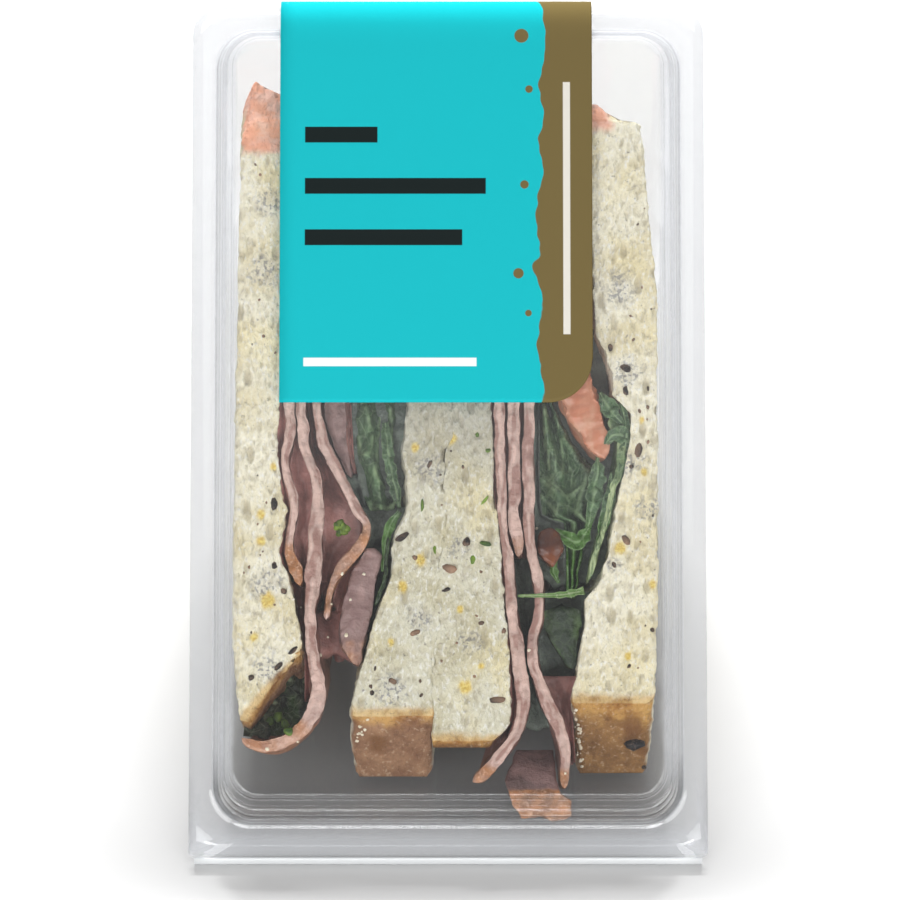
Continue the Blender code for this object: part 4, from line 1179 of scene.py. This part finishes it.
def make_webs(deep, dark):
    """Each row gives two neighbouring sides, the heights a bend runs between, its depth and its look."""
    outer_left, inner_left, inner_right, outer_right = (
        (shape[side], shape[f"{side}_back"])
        for shape, side in (
            (OUTER_LEFT, "right"), (INNER_LEFT, "left"), (INNER_RIGHT, "right"), (OUTER_RIGHT, "left")
        )
    )
    left = [[side_of(piece, way) for way in (-1, 1)] for piece in HAM_LEFT]
    right = [[side_of(piece, way) for way in (-1, 1)] for piece in HAM_RIGHT]
    left_leaf = ([row[:2] for row in LEFT_LEAF], LEFT_LEAF_LANE)
    right_leaf = ([row[:2] for row in RIGHT_LEAF], RIGHT_LEAF_LANE)
    webs = (
        (outer_left, left[0][0], 50, -31, 1.6, deep),
        (outer_left, left[1][0], -32, -60, 7, deep),
        (left[0][1], left[1][0], 50, -33, 2.6, deep),
        (left[1][1], left[2][0], 50, -39, 4, deep),
        (left[2][1], left[4][0], 50, -9, 4, deep),
        (left[4][1], left_leaf, 50, -10, 5, deep),
        (left[2][1], left_leaf, -9, -17, 5, dark),
        (left[2][1], inner_left, -16, -28, 6, dark),
        (left_leaf, inner_left, 50, -17, 6, dark),
        (left[2][1], left[3][0], -26, -40, 4, deep),
        (left[1][1], left[3][0], -38, -51, 6, deep),
        (left[3][1], inner_left, -27, -50, 6, dark),
        (inner_right, right[0][0], 50, -66, 1.6, deep),
        (right[0][1], right[1][0], 50, -27, 1.6, deep),
        (right[1][1], right[2][0], 50, -27, 1.6, deep),
        (right[0][1], right[2][0], -27, -67, 8, dark),
        (right[2][1], right_leaf, 50, -35, 5, dark),
        (right_leaf, outer_right, 50, -34, 7, dark),
        (right[2][1], outer_right, -34, -56, 8, dark),
        (right[2][1], outer_right, -52, -72, 3, deep),
    )
    for k, (one, other, high, low, depth, material) in enumerate(webs):
        slot = "dark_leaf" if material is dark else "lean_ham"
        make_web(f"filling_bend_{k + 1}", one, other, high, low, depth, material, slot, 400 + 9 * k)


def surface_finder(*names):
    """A call that gives the w of the foremost surface at a place, among pieces of those first names."""
    points, faces = [], []
    for item in bpy.context.scene.objects:
        if item.name.startswith(names):
            start = len(points)
            points += [vert.co.copy() for vert in item.data.vertices]
            faces += [[k + start for k in face.vertices] for face in item.data.polygons]
    tree = BVHTree.FromPolygons(points, faces)
    start_w = 20.0
    inwards = Vector(place_points((0, 0, 0)) - place_points((0, 0, 1)))

    def find(u, v):
        hit = tree.ray_cast(Vector(place_points((u, v, start_w))), inwards.normalized())
        return None if hit[0] is None else start_w - hit[3] / MM

    return find


def make_lumps(name, items, find, material, slot, seed):
    """Many small rough bits in one piece, half sunk in what carries them.

    Each has a place, three radii, a turn and a tone.
    """
    ball = bmesh.new()
    bmesh.ops.create_icosphere(ball, subdivisions=2, radius=1.0)
    unit = np.array([vert.co[:] for vert in ball.verts])
    triangles = np.array([[vert.index for vert in face.verts] for face in ball.faces])
    ball.free()
    points, faces, tones = [], [], []
    for u, v, ru, rv, rw, turn, tone in items:
        w, k = find(u, v), len(points)
        if w is None:
            continue
        lump = unit * (1 + 0.34 * noise(unit + 3.7 * k, 0.8, seed))[:, None] * [ru, rv, rw]
        c, s = math.cos(math.radians(turn)), math.sin(math.radians(turn))
        x, y, z = lump.T
        lump = at(x * c - y * s, x * s + y * c, z)
        faces.append(triangles + len(unit) * k)
        points.append(lump + [u, v, w - 0.1 * rw])
        tones.append(np.clip(tone + 0.45 * noise(unit * [1, 0.4, 1] + 5.1 * k, 0.7, seed + 1), 0, 1))
    mesh = new_mesh(name, np.concatenate(points), np.concatenate(faces).tolist())
    set_values(mesh, "tone", np.concatenate(tones))
    return add_piece(name, mesh, material, slot)


def make_seeds():
    """Seeds and bran in the crumb, loose crumbs and chopped bits of leaf."""
    seeds = [
        (-36.8, -15.9, 0.85, 1.35, 0.5, 15, 0.1), (-36.6, -28.9, 0.6, 0.7, 0.5, 0, 0.0),
        (-34.7, -34.3, 0.7, 0.6, 0.5, 0, 0.1), (-32.7, -46.8, 0.5, 1.2, 0.5, -40, 0.15),
        (-35.7, -50.1, 0.6, 1.3, 0.5, -50, 0.1), (-41.4, -52.5, 0.7, 0.6, 0.5, 10, 0.1),
        (-3.9, -7.4, 0.45, 0.9, 0.4, -30, 0.2), (-9.7, -22.8, 0.65, 1.7, 0.5, -60, 0.15),
        (0.5, -29.5, 1.5, 0.85, 0.6, -10, 0.9), (-0.4, -34.0, 1.0, 0.4, 0.4, 20, 0.0),
        (-7.0, -43.1, 1.2, 0.7, 0.5, 30, 0.6), (-11.7, -53.3, 1.0, 0.7, 0.5, -30, 0.5),
        (-16.0, -55.7, 0.45, 0.6, 0.4, 0, 0.1), (3.9, -23.8, 0.95, 0.8, 0.5, 40, 0.1),
        (7.0, -41.0, 0.6, 0.45, 0.4, 0, 0.2), (10.3, -57.2, 1.7, 0.65, 0.5, 5, 0.35),
        (11.7, -42.7, 0.5, 0.6, 0.4, 0, 0.6), (34.4, 17.6, 0.6, 0.9, 0.4, 20, 0.1),
        (37.6, 13.0, 1.1, 0.8, 0.5, -30, 0.2), (37.6, 8.3, 0.6, 0.9, 0.4, 10, 0.1),
        (40.2, -4.4, 0.8, 1.5, 0.5, -10, 0.3), (38.7, -7.9, 0.5, 0.5, 0.4, 0, 0.1),
        (37.5, -23.4, 1.2, 0.8, 0.5, -35, 0.4), (43.0, -42.5, 0.5, 0.5, 0.4, 0, 0.0),
        (35.0, -28.6, 0.5, 0.8, 0.4, 30, 0.3), (-7.0, -27.2, 0.5, 0.6, 0.3, 0, 0.7),
        (39.5, -65.9, 2.1, 1.5, 1.3, -5, -0.6), (41.7, -71.0, 0.6, 0.5, 0.5, 0, 0.1),
    ]
    rng = np.random.default_rng(8)
    fields = (
        (-43.2, -36.5, -50, 58, 15), (-8.6, 7.8, -50, 2, 9), (37.8, 43.2, -52, 58, 16),
        (-17, 9, -60, -48, 5),
    )
    for low_u, high_u, low_v, high_v, count in fields:
        for _ in range(count):
            u, v = rng.uniform(low_u, high_u), rng.uniform(low_v, high_v)
            size = rng.uniform(0.16, 0.38)
            radii = (size, size * rng.uniform(0.8, 1.8), size * 0.7)
            seeds.append((u, v, *radii, rng.uniform(-50, 50), rng.uniform(0.1, 1.0)))
    looks = toned_material("seed", (0.014, 0.012, 0.013), (0.36, 0.22, 0.14), 0.5)
    make_lumps("seeds", seeds, surface_finder("slice_outer", "slice_inner"), looks, "bread", 61)
    crumbs = []
    lines = (((26.9, -58.5), (28.4, -70.5), 26), ((-17.6, -61.0), (-19.4, -66.0), 9))
    for (low_u, low_v), (high_u, high_v), count in lines:
        for _ in range(count):
            t = rng.random()
            size = rng.uniform(0.15, 0.48)
            drift = rng.normal(0, 0.35, 2)
            u, v = mix(low_u, high_u, t) + drift[0], mix(low_v, high_v, t) + drift[1]
            radii = (size, size * rng.uniform(0.7, 1.2), size)
            crumbs.append((u, v, *radii, rng.uniform(0, 90), rng.random()))
    for u, v in (
        (-22.3, -30.6), (-24.6, -37.0), (-17.8, -30.6), (-27.0, -47.6), (-25.5, -43.7),
        (-31.6, -66.0), (-38.0, -67.5), (-31.4, -37.2), (-32.6, -36.0), (24.6, -72.6),
        (18.8, -20.6), (17.0, -46.7), (-20.6, -36.0), (-21.5, -43.5), (30.8, -44.0),
    ):
        size = rng.uniform(0.25, 0.5)
        crumbs.append((u, v, size, size * 0.9, size * 0.8, rng.uniform(0, 90), rng.random()))
    carried = surface_finder("slice", "leaf", "flesh", "filling")
    looks = toned_material("crumb", (0.80, 0.70, 0.52), (0.92, 0.86, 0.70), 0.8)
    make_lumps("crumbs", crumbs, carried, looks, "bread", 63)
    greens = [
        (-5.5, -16.1, 0.35, 1.6, 0.25, 3, 0.2), (6.2, -1.0, 0.7, 0.9, 0.3, 10, 0.1),
        (8.2, -4.5, 1.4, 0.45, 0.3, 5, 0.4), (7.7, -15.1, 0.4, 1.4, 0.35, -40, 0.8),
        (7.9, -24.2, 1.2, 0.5, 0.35, -15, 0.2), (-2.8, -25.6, 0.4, 0.9, 0.3, 10, 0.6),
        (5.3, -27.6, 0.6, 1.0, 0.3, 0, 0.5),
    ]
    # The little bunch of leaf between two slices of ham on the left, then leaf in the torn crust
    for k in range(9):
        u, v = -23.6 + 0.5 * (k % 5), -19.9 - 0.75 * (k // 3) + 0.3 * (k % 2)
        greens.append((u, v, 0.95, 0.7, 0.55, 40 * k, 0.35 + 0.3 * (k % 3)))
    for u, v in ((-34.5, -62.0), (-33.4, -64.0), (-36.0, -60.5), (-37.8, -61.4)):
        greens.append((u, v, 1.0, 1.2, 0.6, 30 * u, 0.3))
    looks = toned_material("chop", (0.03, 0.075, 0.01), (0.23, 0.37, 0.04), 0.4)
    make_lumps("chopped_leaf", greens, carried, looks, "leaf", 67)


def plastic_material(name, shade, milk, pale, oblique, edgewise):
    """Clear sheet: seen through face on, and brighter and greyer where it is seen along its surface. Where
    under is set, it is darkened as painted shade.
    """
    n = Nodes(name)
    facing = n.add("ShaderNodeLayerWeight", Blend=0.5).outputs["Facing"]
    gloss = n.math("ADD", n.math("MULTIPLY", n.math("POWER", facing, 4.0), 0.14), 0.034)
    across = (oblique, oblique * 1.003, oblique * 1.005)
    along = (edgewise, edgewise * 1.003, edgewise * 1.01)
    tint = n.ramp(facing, (0.0, (pale, pale, pale)), (0.55, across), (1.0, along))
    tint = n.blend(n.math("MINIMUM", n.value("flange"), 1.0), tint, (0.94, 0.941, 0.951))
    # Painted shade: where under is set the sheet passes less light to the eye, darkening what is seen
    # through it
    steep = n.math("MULTIPLY", n.math("MULTIPLY", facing, facing), n.value("under"))
    tint = n.lay(tint, (0.34, 0.35, 0.36), 0.8, steep)
    shadow = n.add("ShaderNodeLightPath").outputs["Is Shadow Ray"]
    dim = n.blend(n.value("flange"), (shade, shade, shade), (0.98, 0.98, 0.98))
    clear = n.add("ShaderNodeBsdfTransparent", Color=n.blend(shadow, tint, dim))
    shine = n.add("ShaderNodeBsdfGlossy", Roughness=0.05, Color=(0.95, 0.96, 0.97, 1))
    haze = n.add("ShaderNodeBsdfDiffuse", Color=(0.85, 0.87, 0.88, 1))
    cloud = n.math("ADD", n.math("MULTIPLY", n.math("POWER", facing, 2.0), milk), 0.005)
    cloud = n.math("ADD", cloud, n.math("MULTIPLY", n.value("flange"), 0.13))
    return n.surface(n.mixed(gloss, n.mixed(cloud, clear, haze), shine))


def soften(loops, rounds=2):
    """Rounds the bends from loop to loop by cutting their corners off, keeping the first and last."""
    grid = np.array(loops)
    for _ in range(rounds):
        early = 0.75 * grid[:-1] + 0.25 * grid[1:]
        late = 0.25 * grid[:-1] + 0.75 * grid[1:]
        middle = np.stack([early, late], axis=1).reshape(-1, *grid.shape[1:])
        grid = np.concatenate([grid[:1], middle[1:-1], grid[-1:]])
    return grid


def spread_loop(low, high, half_width, lower, upper, depth):
    """A rounded rectangle in the window's plane, with its lower and its upper radius.

    Its straight sides are divided too, so that they can be uneven.
    """
    spots = (
        (half_width - lower, low + lower, lower, -90),
        (half_width - upper, high - upper, upper, 0),
        (upper - half_width, high - upper, upper, 90),
        (lower - half_width, low + lower, lower, 180),
    )
    corners = []
    for u, v, radius, start in spots:
        turns = np.radians([start + 90 * step / CORNER_STEPS for step in range(CORNER_STEPS + 1)])
        corners.append(at(u + radius * np.cos(turns), v + radius * np.sin(turns), depth))
    parts = []
    for corner, after in zip(corners, corners[1:] + corners[:1]):
        parts += [corner, mix(corner[-1], after[0], np.linspace(0, 1, SIDE_STEPS + 1)[1:-1, None])]
    return np.concatenate(parts)


def add_wall(piece):
    """Makes a thin sheet as thick as the pack's walls, outwards."""
    wall = piece.modifiers.new("wall", "SOLIDIFY")
    wall.thickness = WALL * MM
    wall.offset = 1
    wall.use_even_offset = True
    return piece


def tray_half_width(depth):
    """Half the tray's width below the steps at its mouth, between its ribs."""
    return TRAY_MOUTH_WIDTH / 2 - TRAY_MOUTH_STEP - TRAY_DRAFT * depth


def tray_range(depth):
    """The lowest and the highest v of the tray at a depth."""
    low = TRAY_LOW + depth
    if depth > TRAY_FLOOR_END:
        low = TRAY_LOW + TRAY_FLOOR_END + (depth - TRAY_FLOOR_END) / math.tan(WINDOW_SLOPE)
    return low, TRAY_HIGH - depth


def make_tray(material):
    """The tray's flange, the two steps at its mouth, its ribbed walls, its heel and its back edge."""
    edge = spread_loop(ROLL_V + HINGE_GAP, FLANGE_TOP, PACK_WIDTH / 2, HINGE_CORNER, FLANGE_CORNER, -PARTING)
    bends = []
    mouth = (
        (-0.2, 0, 8.0, PARTING), (0.9, 0.3, 7.9, 0.5), (2.2, 0.5, 7.6, 2.4), (3.2, 1.6, 7.2, 3.2),
        (4.6, 1.7, 7.2, 4.6),
    )
    for inset, narrower, radius, depth in mouth:
        half = TRAY_MOUTH_WIDTH / 2 - narrower
        bends.append(spread_loop(TRAY_LOW + inset, TRAY_HIGH - inset, half, radius, radius, -depth))
    for middle in RIB_DEPTHS:
        for offset, rise in RIB_SECTION:
            depth = middle + offset
            radius = TRAY_CORNER - TRAY_CORNER_TAPER * depth
            half = tray_half_width(depth) + rise
            bends.append(spread_loop(*tray_range(depth), half, radius, radius, -depth))
    for depth, radius in ((TRAY_FLOOR_END - 2, 2.9), (TRAY_FLOOR_END, 2.6), (TRAY_DEPTH, 1.6)):
        bends.append(spread_loop(*tray_range(depth), tray_half_width(depth), radius, radius, -depth))
    low, high = tray_range(TRAY_DEPTH)
    half = tray_half_width(TRAY_DEPTH) - 1.4
    bends.append(spread_loop(low + 1.0, high - 1.4, half, 1.2, 1.2, -TRAY_DEPTH - 0.4))
    grid = soften([edge, *bends])
    uneven = band(-grid[..., 2], 3.0, 9.0) * band(-grid[..., 2], 72.0, 62.0)
    grid[..., 0] += uneven * 0.22 * noise(grid, (14, 9, 14), 501) * np.sign(grid[..., 0])
    flat = grid.reshape(-1, 3)
    *sides, _, end = loop_faces(*grid.shape[:2])
    mesh = new_mesh("clear_tray", flat, [face[::-1] for face in [*sides, end]])
    v, w = flat[:, 1], flat[:, 2]
    set_values(mesh, "flange", band(w, -1.6, -0.6) * (1 + 1.2 * band(v, -83.5, -87.0)))
    # Painted shade: the tray's lower front wall is darkened, for the shade beneath the pack
    under = band(v, -70.0, -77.0) * band(w, -14.0, -8.0)
    set_values(mesh, "under", under * (1 - 0.8 * band(v, -81.5, -82.8)))
    add_wall(add_piece("clear_tray", mesh, material, "clear_plastic", "tray"))


def make_lid(material):
    """The lid: its flange, its steps up to a window that is very slightly domed, and its lower roll."""
    edge = spread_loop(ROLL_V, FLANGE_TOP, PACK_WIDTH / 2, HINGE_CORNER, FLANGE_CORNER, PARTING)
    steps = (
        (-84.4, 87.4, 50.7, 8.6, PARTING), (-84.1, 87.2, 50.5, 8.5, PARTING),
        (-83.5, 86.6, 49.9, 8.2, 0.38), (-83.1, 86.2, 49.5, 8.0, 0.5),
        (-82.7, 85.55, 48.9, 7.8, 1.4), (-82.5, 85.2, 48.4, 7.6, 2.7),
        (-82.1, 85.0, 48.1, 7.5, 3.15), (-81.6, 84.9, 47.8, 7.4, 2.95), (-81.1, 84.75, 47.6, 7.2, 3.35),
        (-80.5, 84.6, 47.4, 7.0, 3.1), (-79.9, 84.4, 47.2, 6.9, 3.45), (-79.3, 84.2, 46.8, 6.6, 3.4),
        (-78.6, 83.9, 46.3, 6.3, 4.2), (-78.1, 83.6, 45.9, 6.0, 4.9), (-77.7, 83.4, 45.6, 5.8, 4.85),
        (-77.3, 83.1, 45.3, 5.6, 5.4), (-76.6, 82.6, 44.7, 5.2, 5.6), (-75.4, 81.4, 43.5, 5.0, 5.62),
    )
    loops = [spread_loop(*sides, radius, radius, height) for *sides, radius, height in steps]
    grid = soften([edge, *loops], 1)
    rings = []
    for share in (0.95, 0.88, 0.78, 0.66, 0.52, 0.38, 0.22, 0.08):
        ring = grid[-1] * [share, share, 1.0]
        ring[:, 1] += 3.0 * (1 - share)
        ring[:, 2] += WINDOW_DOME * (1 - share**2) + 0.05 * noise(ring, 30.0, 503)
        rings.append(ring)
    grid = np.concatenate([grid, rings])
    *sides, _, end = loop_faces(*grid.shape[:2])
    points, faces = grid.reshape(-1, 3).tolist(), [*sides, end]
    sheet = len(points)
    half = PACK_WIDTH / 2 - HINGE_CORNER
    along_crease = (np.abs(edge[:, 1] - ROLL_V) < 0.01) & (np.abs(edge[:, 0]) <= half + 0.01)
    crease = sorted(np.flatnonzero(along_crease).tolist(), key=lambda k: edge[k, 0])
    ends = crease
    for step in range(1, 13):
        turn = math.pi * step / 12
        v, w = ROLL_V - ROLL_RADIUS * math.sin(turn), PARTING - ROLL_RADIUS * (1 - math.cos(turn))
        new_ends = list(range(len(points), len(points) + len(crease)))
        points += [(edge[k, 0], v, w) for k in crease]
        faces += [list(corners) for corners in zip(ends, new_ends, new_ends[1:], ends[1:])]
        ends = new_ends
    mesh = new_mesh("clear_lid", points, faces)
    v, w = np.array(points)[:, 1:].T
    low_flange = 0.3 * band(v, -82.4, -84.0) + 0.9 * band(v, -84.5, -87.5)
    haze = mix(1.2, 0.1 + 0.5 * band(v, -81.6, -82.6), band(v, -71.0, -77.0))
    hazy = np.maximum(low_flange, haze * band(w, 0.3, 0.8) * band(w, 5.6, 5.3))
    set_values(mesh, "flange", np.where(np.arange(len(points)) < sheet, hazy, 5.0))
    # Painted shade: the lid is darkened low down, and on one riser of its steps as a painted dark line
    under = band(v, -70.0, -76.0) * (1 - 0.8 * band(v, -81.2, -82.4))
    set_values(mesh, "under", under + 1.3 * band(w, 1.0, 1.6) * band(w, 2.8, 2.3))
    add_wall(add_piece("clear_lid", mesh, material, "clear_plastic", "lid"))


def make_pack():
    make_tray(plastic_material("clear_tray", 0.80, 0.04, 0.86, 0.90, 0.98))
    make_lid(plastic_material("clear_lid", 0.98, 0.04, 0.968, 0.968, 0.98))


def label_material():
    turquoise, brown = (0.008, 0.465, 0.515), (0.165, 0.123, 0.046)
    n = Nodes("label_print")
    place = n.add("ShaderNodeUVMap", uv_map="print").outputs[0]
    split = n.add("ShaderNodeSeparateXYZ", Vector=place)
    u, v = split.outputs[0], split.outputs[1]
    ripple = n.noise(0.09, 2.0, 0.5, where=place)
    edge = n.math("ADD", u, n.math("MULTIPLY", n.math("SUBTRACT", ripple, 0.5), 9.0))
    colour = n.blend(n.steps(edge, BAND_LEFT, BAND_LEFT + 0.25), turquoise, brown)
    # Painted shade: the print on the flap folded over the back is darker, against the strong light from
    # behind
    colour = n.lay(colour, (0.0, 0.06, 0.07), 0.45, v, 95.0, 100.0)
    dark, pale, white = (0.008, 0.014, 0.014), (0.72, 0.69, 0.62), (0.85, 0.88, 0.88)
    for low_u, high_u, low_v, high_v, tone in (
        (-30.4, -15.0, 61.0, 64.4, dark), (-30.4, 8.0, 50.0, 53.4, dark), (-30.4, 3.0, 39.0, 42.4, dark),
        (-30.6, 6.0, 13.2, 15.0, white), (24.4, 25.9, 20.0, 74.0, pale),
    ):
        inside = n.steps(u, low_u - BLUR, low_u + BLUR)
        for axis, limit, blur in ((u, high_u, -BLUR), (v, low_v, BLUR), (v, high_v, -BLUR)):
            inside = n.math("MULTIPLY", inside, n.steps(axis, limit - blur, limit + blur))
        colour = n.blend(inside, colour, tone)
    for *dot, radius in (
        (15.6, 84.0, 1.5), (17.2, 72.5, 0.8), (14.9, 33.0, 1.1), (17.0, 24.5, 0.7), (16.2, 52.0, 0.9)
    ):
        gap = n.add("ShaderNodeVectorMath", operation="DISTANCE")
        n.fill(gap.inputs[0], place)
        n.fill(gap.inputs[1], (*dot, 0))
        colour = n.blend(n.steps(gap.outputs["Value"], radius + BLUR, radius - BLUR), colour, brown)
    return n.principled(colour, 0.7, 0.12, n.bump(n.noise(2500.0, 2.0), 0.06, 0.0002))


def make_label():
    """The label lies on the window, bends over the lid's shoulder and folds over the top edge."""
    face = WINDOW_HEIGHT + WALL + LABEL_GAP
    path = (
        *((v, face) for v in (LABEL_LOW, 20, 40, 60, 78, 84.5)), (88.2, face - 0.35), (90.6, 4.7),
        (92.1, 2.4), (92.3, 0.7), (92.0, -0.7), (91.2, -1.3), (89.4, -1.5), (85.5, -4.2), (79.0, -10.6),
        (69.0, -20.6),
    )
    fine = smooth_path(path, 120)
    fine[(fine[:, 0] < 80) & (fine[:, 1] > 3), 1] = face
    run = np.concatenate([[0], np.cumsum(np.linalg.norm(np.diff(fine, axis=0), axis=1))]) + LABEL_LOW
    columns = np.concatenate([np.linspace(LABEL_LEFT, 20.8, 16), np.linspace(21.3, LABEL_RIGHT, 24)])
    over = np.clip(columns - (LABEL_RIGHT - LABEL_CORNER), 0, LABEL_CORNER)
    lift = LABEL_CORNER - np.sqrt(np.maximum(LABEL_CORNER**2 - over**2, 0))
    along = np.linspace(LABEL_LOW + lift, run[-1], len(fine))
    grid = at(columns, np.interp(along, run, fine[:, 0]), np.interp(along, run, fine[:, 1]))
    prints = np.stack([np.broadcast_to(columns, along.shape), along], axis=-1).reshape(-1, 2)
    normal = normals_of(grid)
    if normal[5, 5, 2] < 0:
        normal = -normal
    rows, size = grid.shape[:2]
    count = rows * size
    sheets = (grid + LABEL_OUTWARDS * normal, grid - LABEL_INWARDS * normal)
    points = np.concatenate([sheet.reshape(-1, 3) for sheet in sheets])
    upper = loop_faces(rows, size, closed=False)
    lower = [[a + count for a in face[::-1]] for face in upper]
    index = np.arange(count).reshape(rows, size)
    rim = np.concatenate([index[0], index[1:, -1], index[-1, -2::-1], index[-2:0:-1, 0]]).tolist()
    sides = [[b, a, a + count, b + count] for a, b in zip(rim, rim[1:] + rim[:1])]
    mesh = new_mesh("label_sheet", points, outward(points, upper + lower + sides))
    store = mesh.uv_layers.new(name="print")
    corner = np.zeros(len(mesh.loops), dtype=np.int32)
    mesh.loops.foreach_get("vertex_index", corner)
    store.data.foreach_set("uv", prints[corner % count].astype(np.float32).ravel())
    add_piece("label_sheet", mesh, label_material(), "paper", "label")


def add_light(name, size, power, spot, target):
    lamp = bpy.data.lights.new(name, "AREA")
    lamp.shape = "RECTANGLE"
    lamp.size, lamp.size_y = size
    lamp.energy = power
    item = bpy.data.objects.new(name, lamp)
    bpy.context.scene.collection.objects.link(item)
    item.location = spot
    item.rotation_euler = (Vector(target) - Vector(spot)).to_track_quat("-Z", "Y").to_euler()
    return item


def make_studio():
    floor = bpy.data.meshes.new("floor")
    floor.from_pydata([(-4, -4, 0), (4, -4, 0), (4, 6, 0), (-4, 6, 0)], [], [(0, 1, 2, 3)])
    n = Nodes("floor_paper")
    floor.materials.append(n.principled((0.62, 0.62, 0.62, 1), 0.9, 0.0))
    item = bpy.data.objects.new("floor", floor)
    bpy.context.scene.collection.objects.link(item)
    world = bpy.data.worlds.new("studio")
    bpy.context.scene.world = world
    world.use_nodes = True
    tree = world.node_tree
    back = tree.nodes["Background"]
    ray = tree.nodes.new("ShaderNodeTexCoord")
    split = tree.nodes.new("ShaderNodeSeparateXYZ")
    tree.links.new(ray.outputs["Generated"], split.inputs[0])
    dome = tree.nodes.new("ShaderNodeMapRange")
    dome.interpolation_type = "SMOOTHSTEP"
    tree.links.new(split.outputs[2], dome.inputs["Value"])
    for key, value in (("From Min", 0.785), ("From Max", 0.805), ("To Min", 0.28), ("To Max", 0.76)):
        dome.inputs[key].default_value = value
    tree.links.new(dome.outputs[0], back.inputs[1])
    back.inputs[0].default_value = (1, 1, 1, 1)
    aim = (0, 0, 0.05)
    add_light("left_softbox", (0.8, 0.6), 6.6, (-0.80, -1.10, 0.50), aim)
    add_light("right_softbox", (0.8, 0.6), 5.8, (0.80, -1.10, 0.50), aim)
    back_strip = add_light("back_strip", (0.5, 0.10), 33.0, (0.0, 1.0, 0.99), (0, -0.05, 0.0))
    back_strip.visible_glossy = False
    add_light("low_strip", (1.4, 0.16), 6.5, (0.0, -1.3, 0.30), aim)


def make_camera():
    """The camera stands a little lower than square on to the window and aims just below its middle."""
    distance, view_width, sensor_width = 900.0, 191.25, 36.0
    elevation = math.radians(42.9)
    aim = Vector(place_points((0.4, -4.0, 0.0)))
    away = Vector((0, -math.cos(elevation), math.sin(elevation)))
    lens = bpy.data.cameras.new("photo_camera")
    lens.sensor_width = sensor_width
    lens.lens = sensor_width * distance / view_width
    lens.clip_start = 0.05
    item = bpy.data.objects.new("photo_camera", lens)
    bpy.context.scene.collection.objects.link(item)
    item.location = aim + away * distance * MM
    item.rotation_euler = (-away).to_track_quat("-Z", "Y").to_euler()
    bpy.context.scene.camera = item


def main():
    scene = bpy.context.scene
    scene.view_settings.view_transform = "Standard"
    scene.cycles.transparent_max_bounces = 40
    make_studio()
    make_camera()
    make_pack()
    make_label()
    make_breads()
    make_ham()
    make_salad()
    make_webs(
        ham_material("deep_ham", (0.46, 0.235, 0.205), (0.41, 0.19, 0.165), (0.3, 0.1, 0.04)),
        leaf_material("deep_leaf", (0.11, 0.13, 0.12), (0.16, 0.19, 0.165), (0.22, 0.28, 0.2)),
    )
    make_seeds()


main()
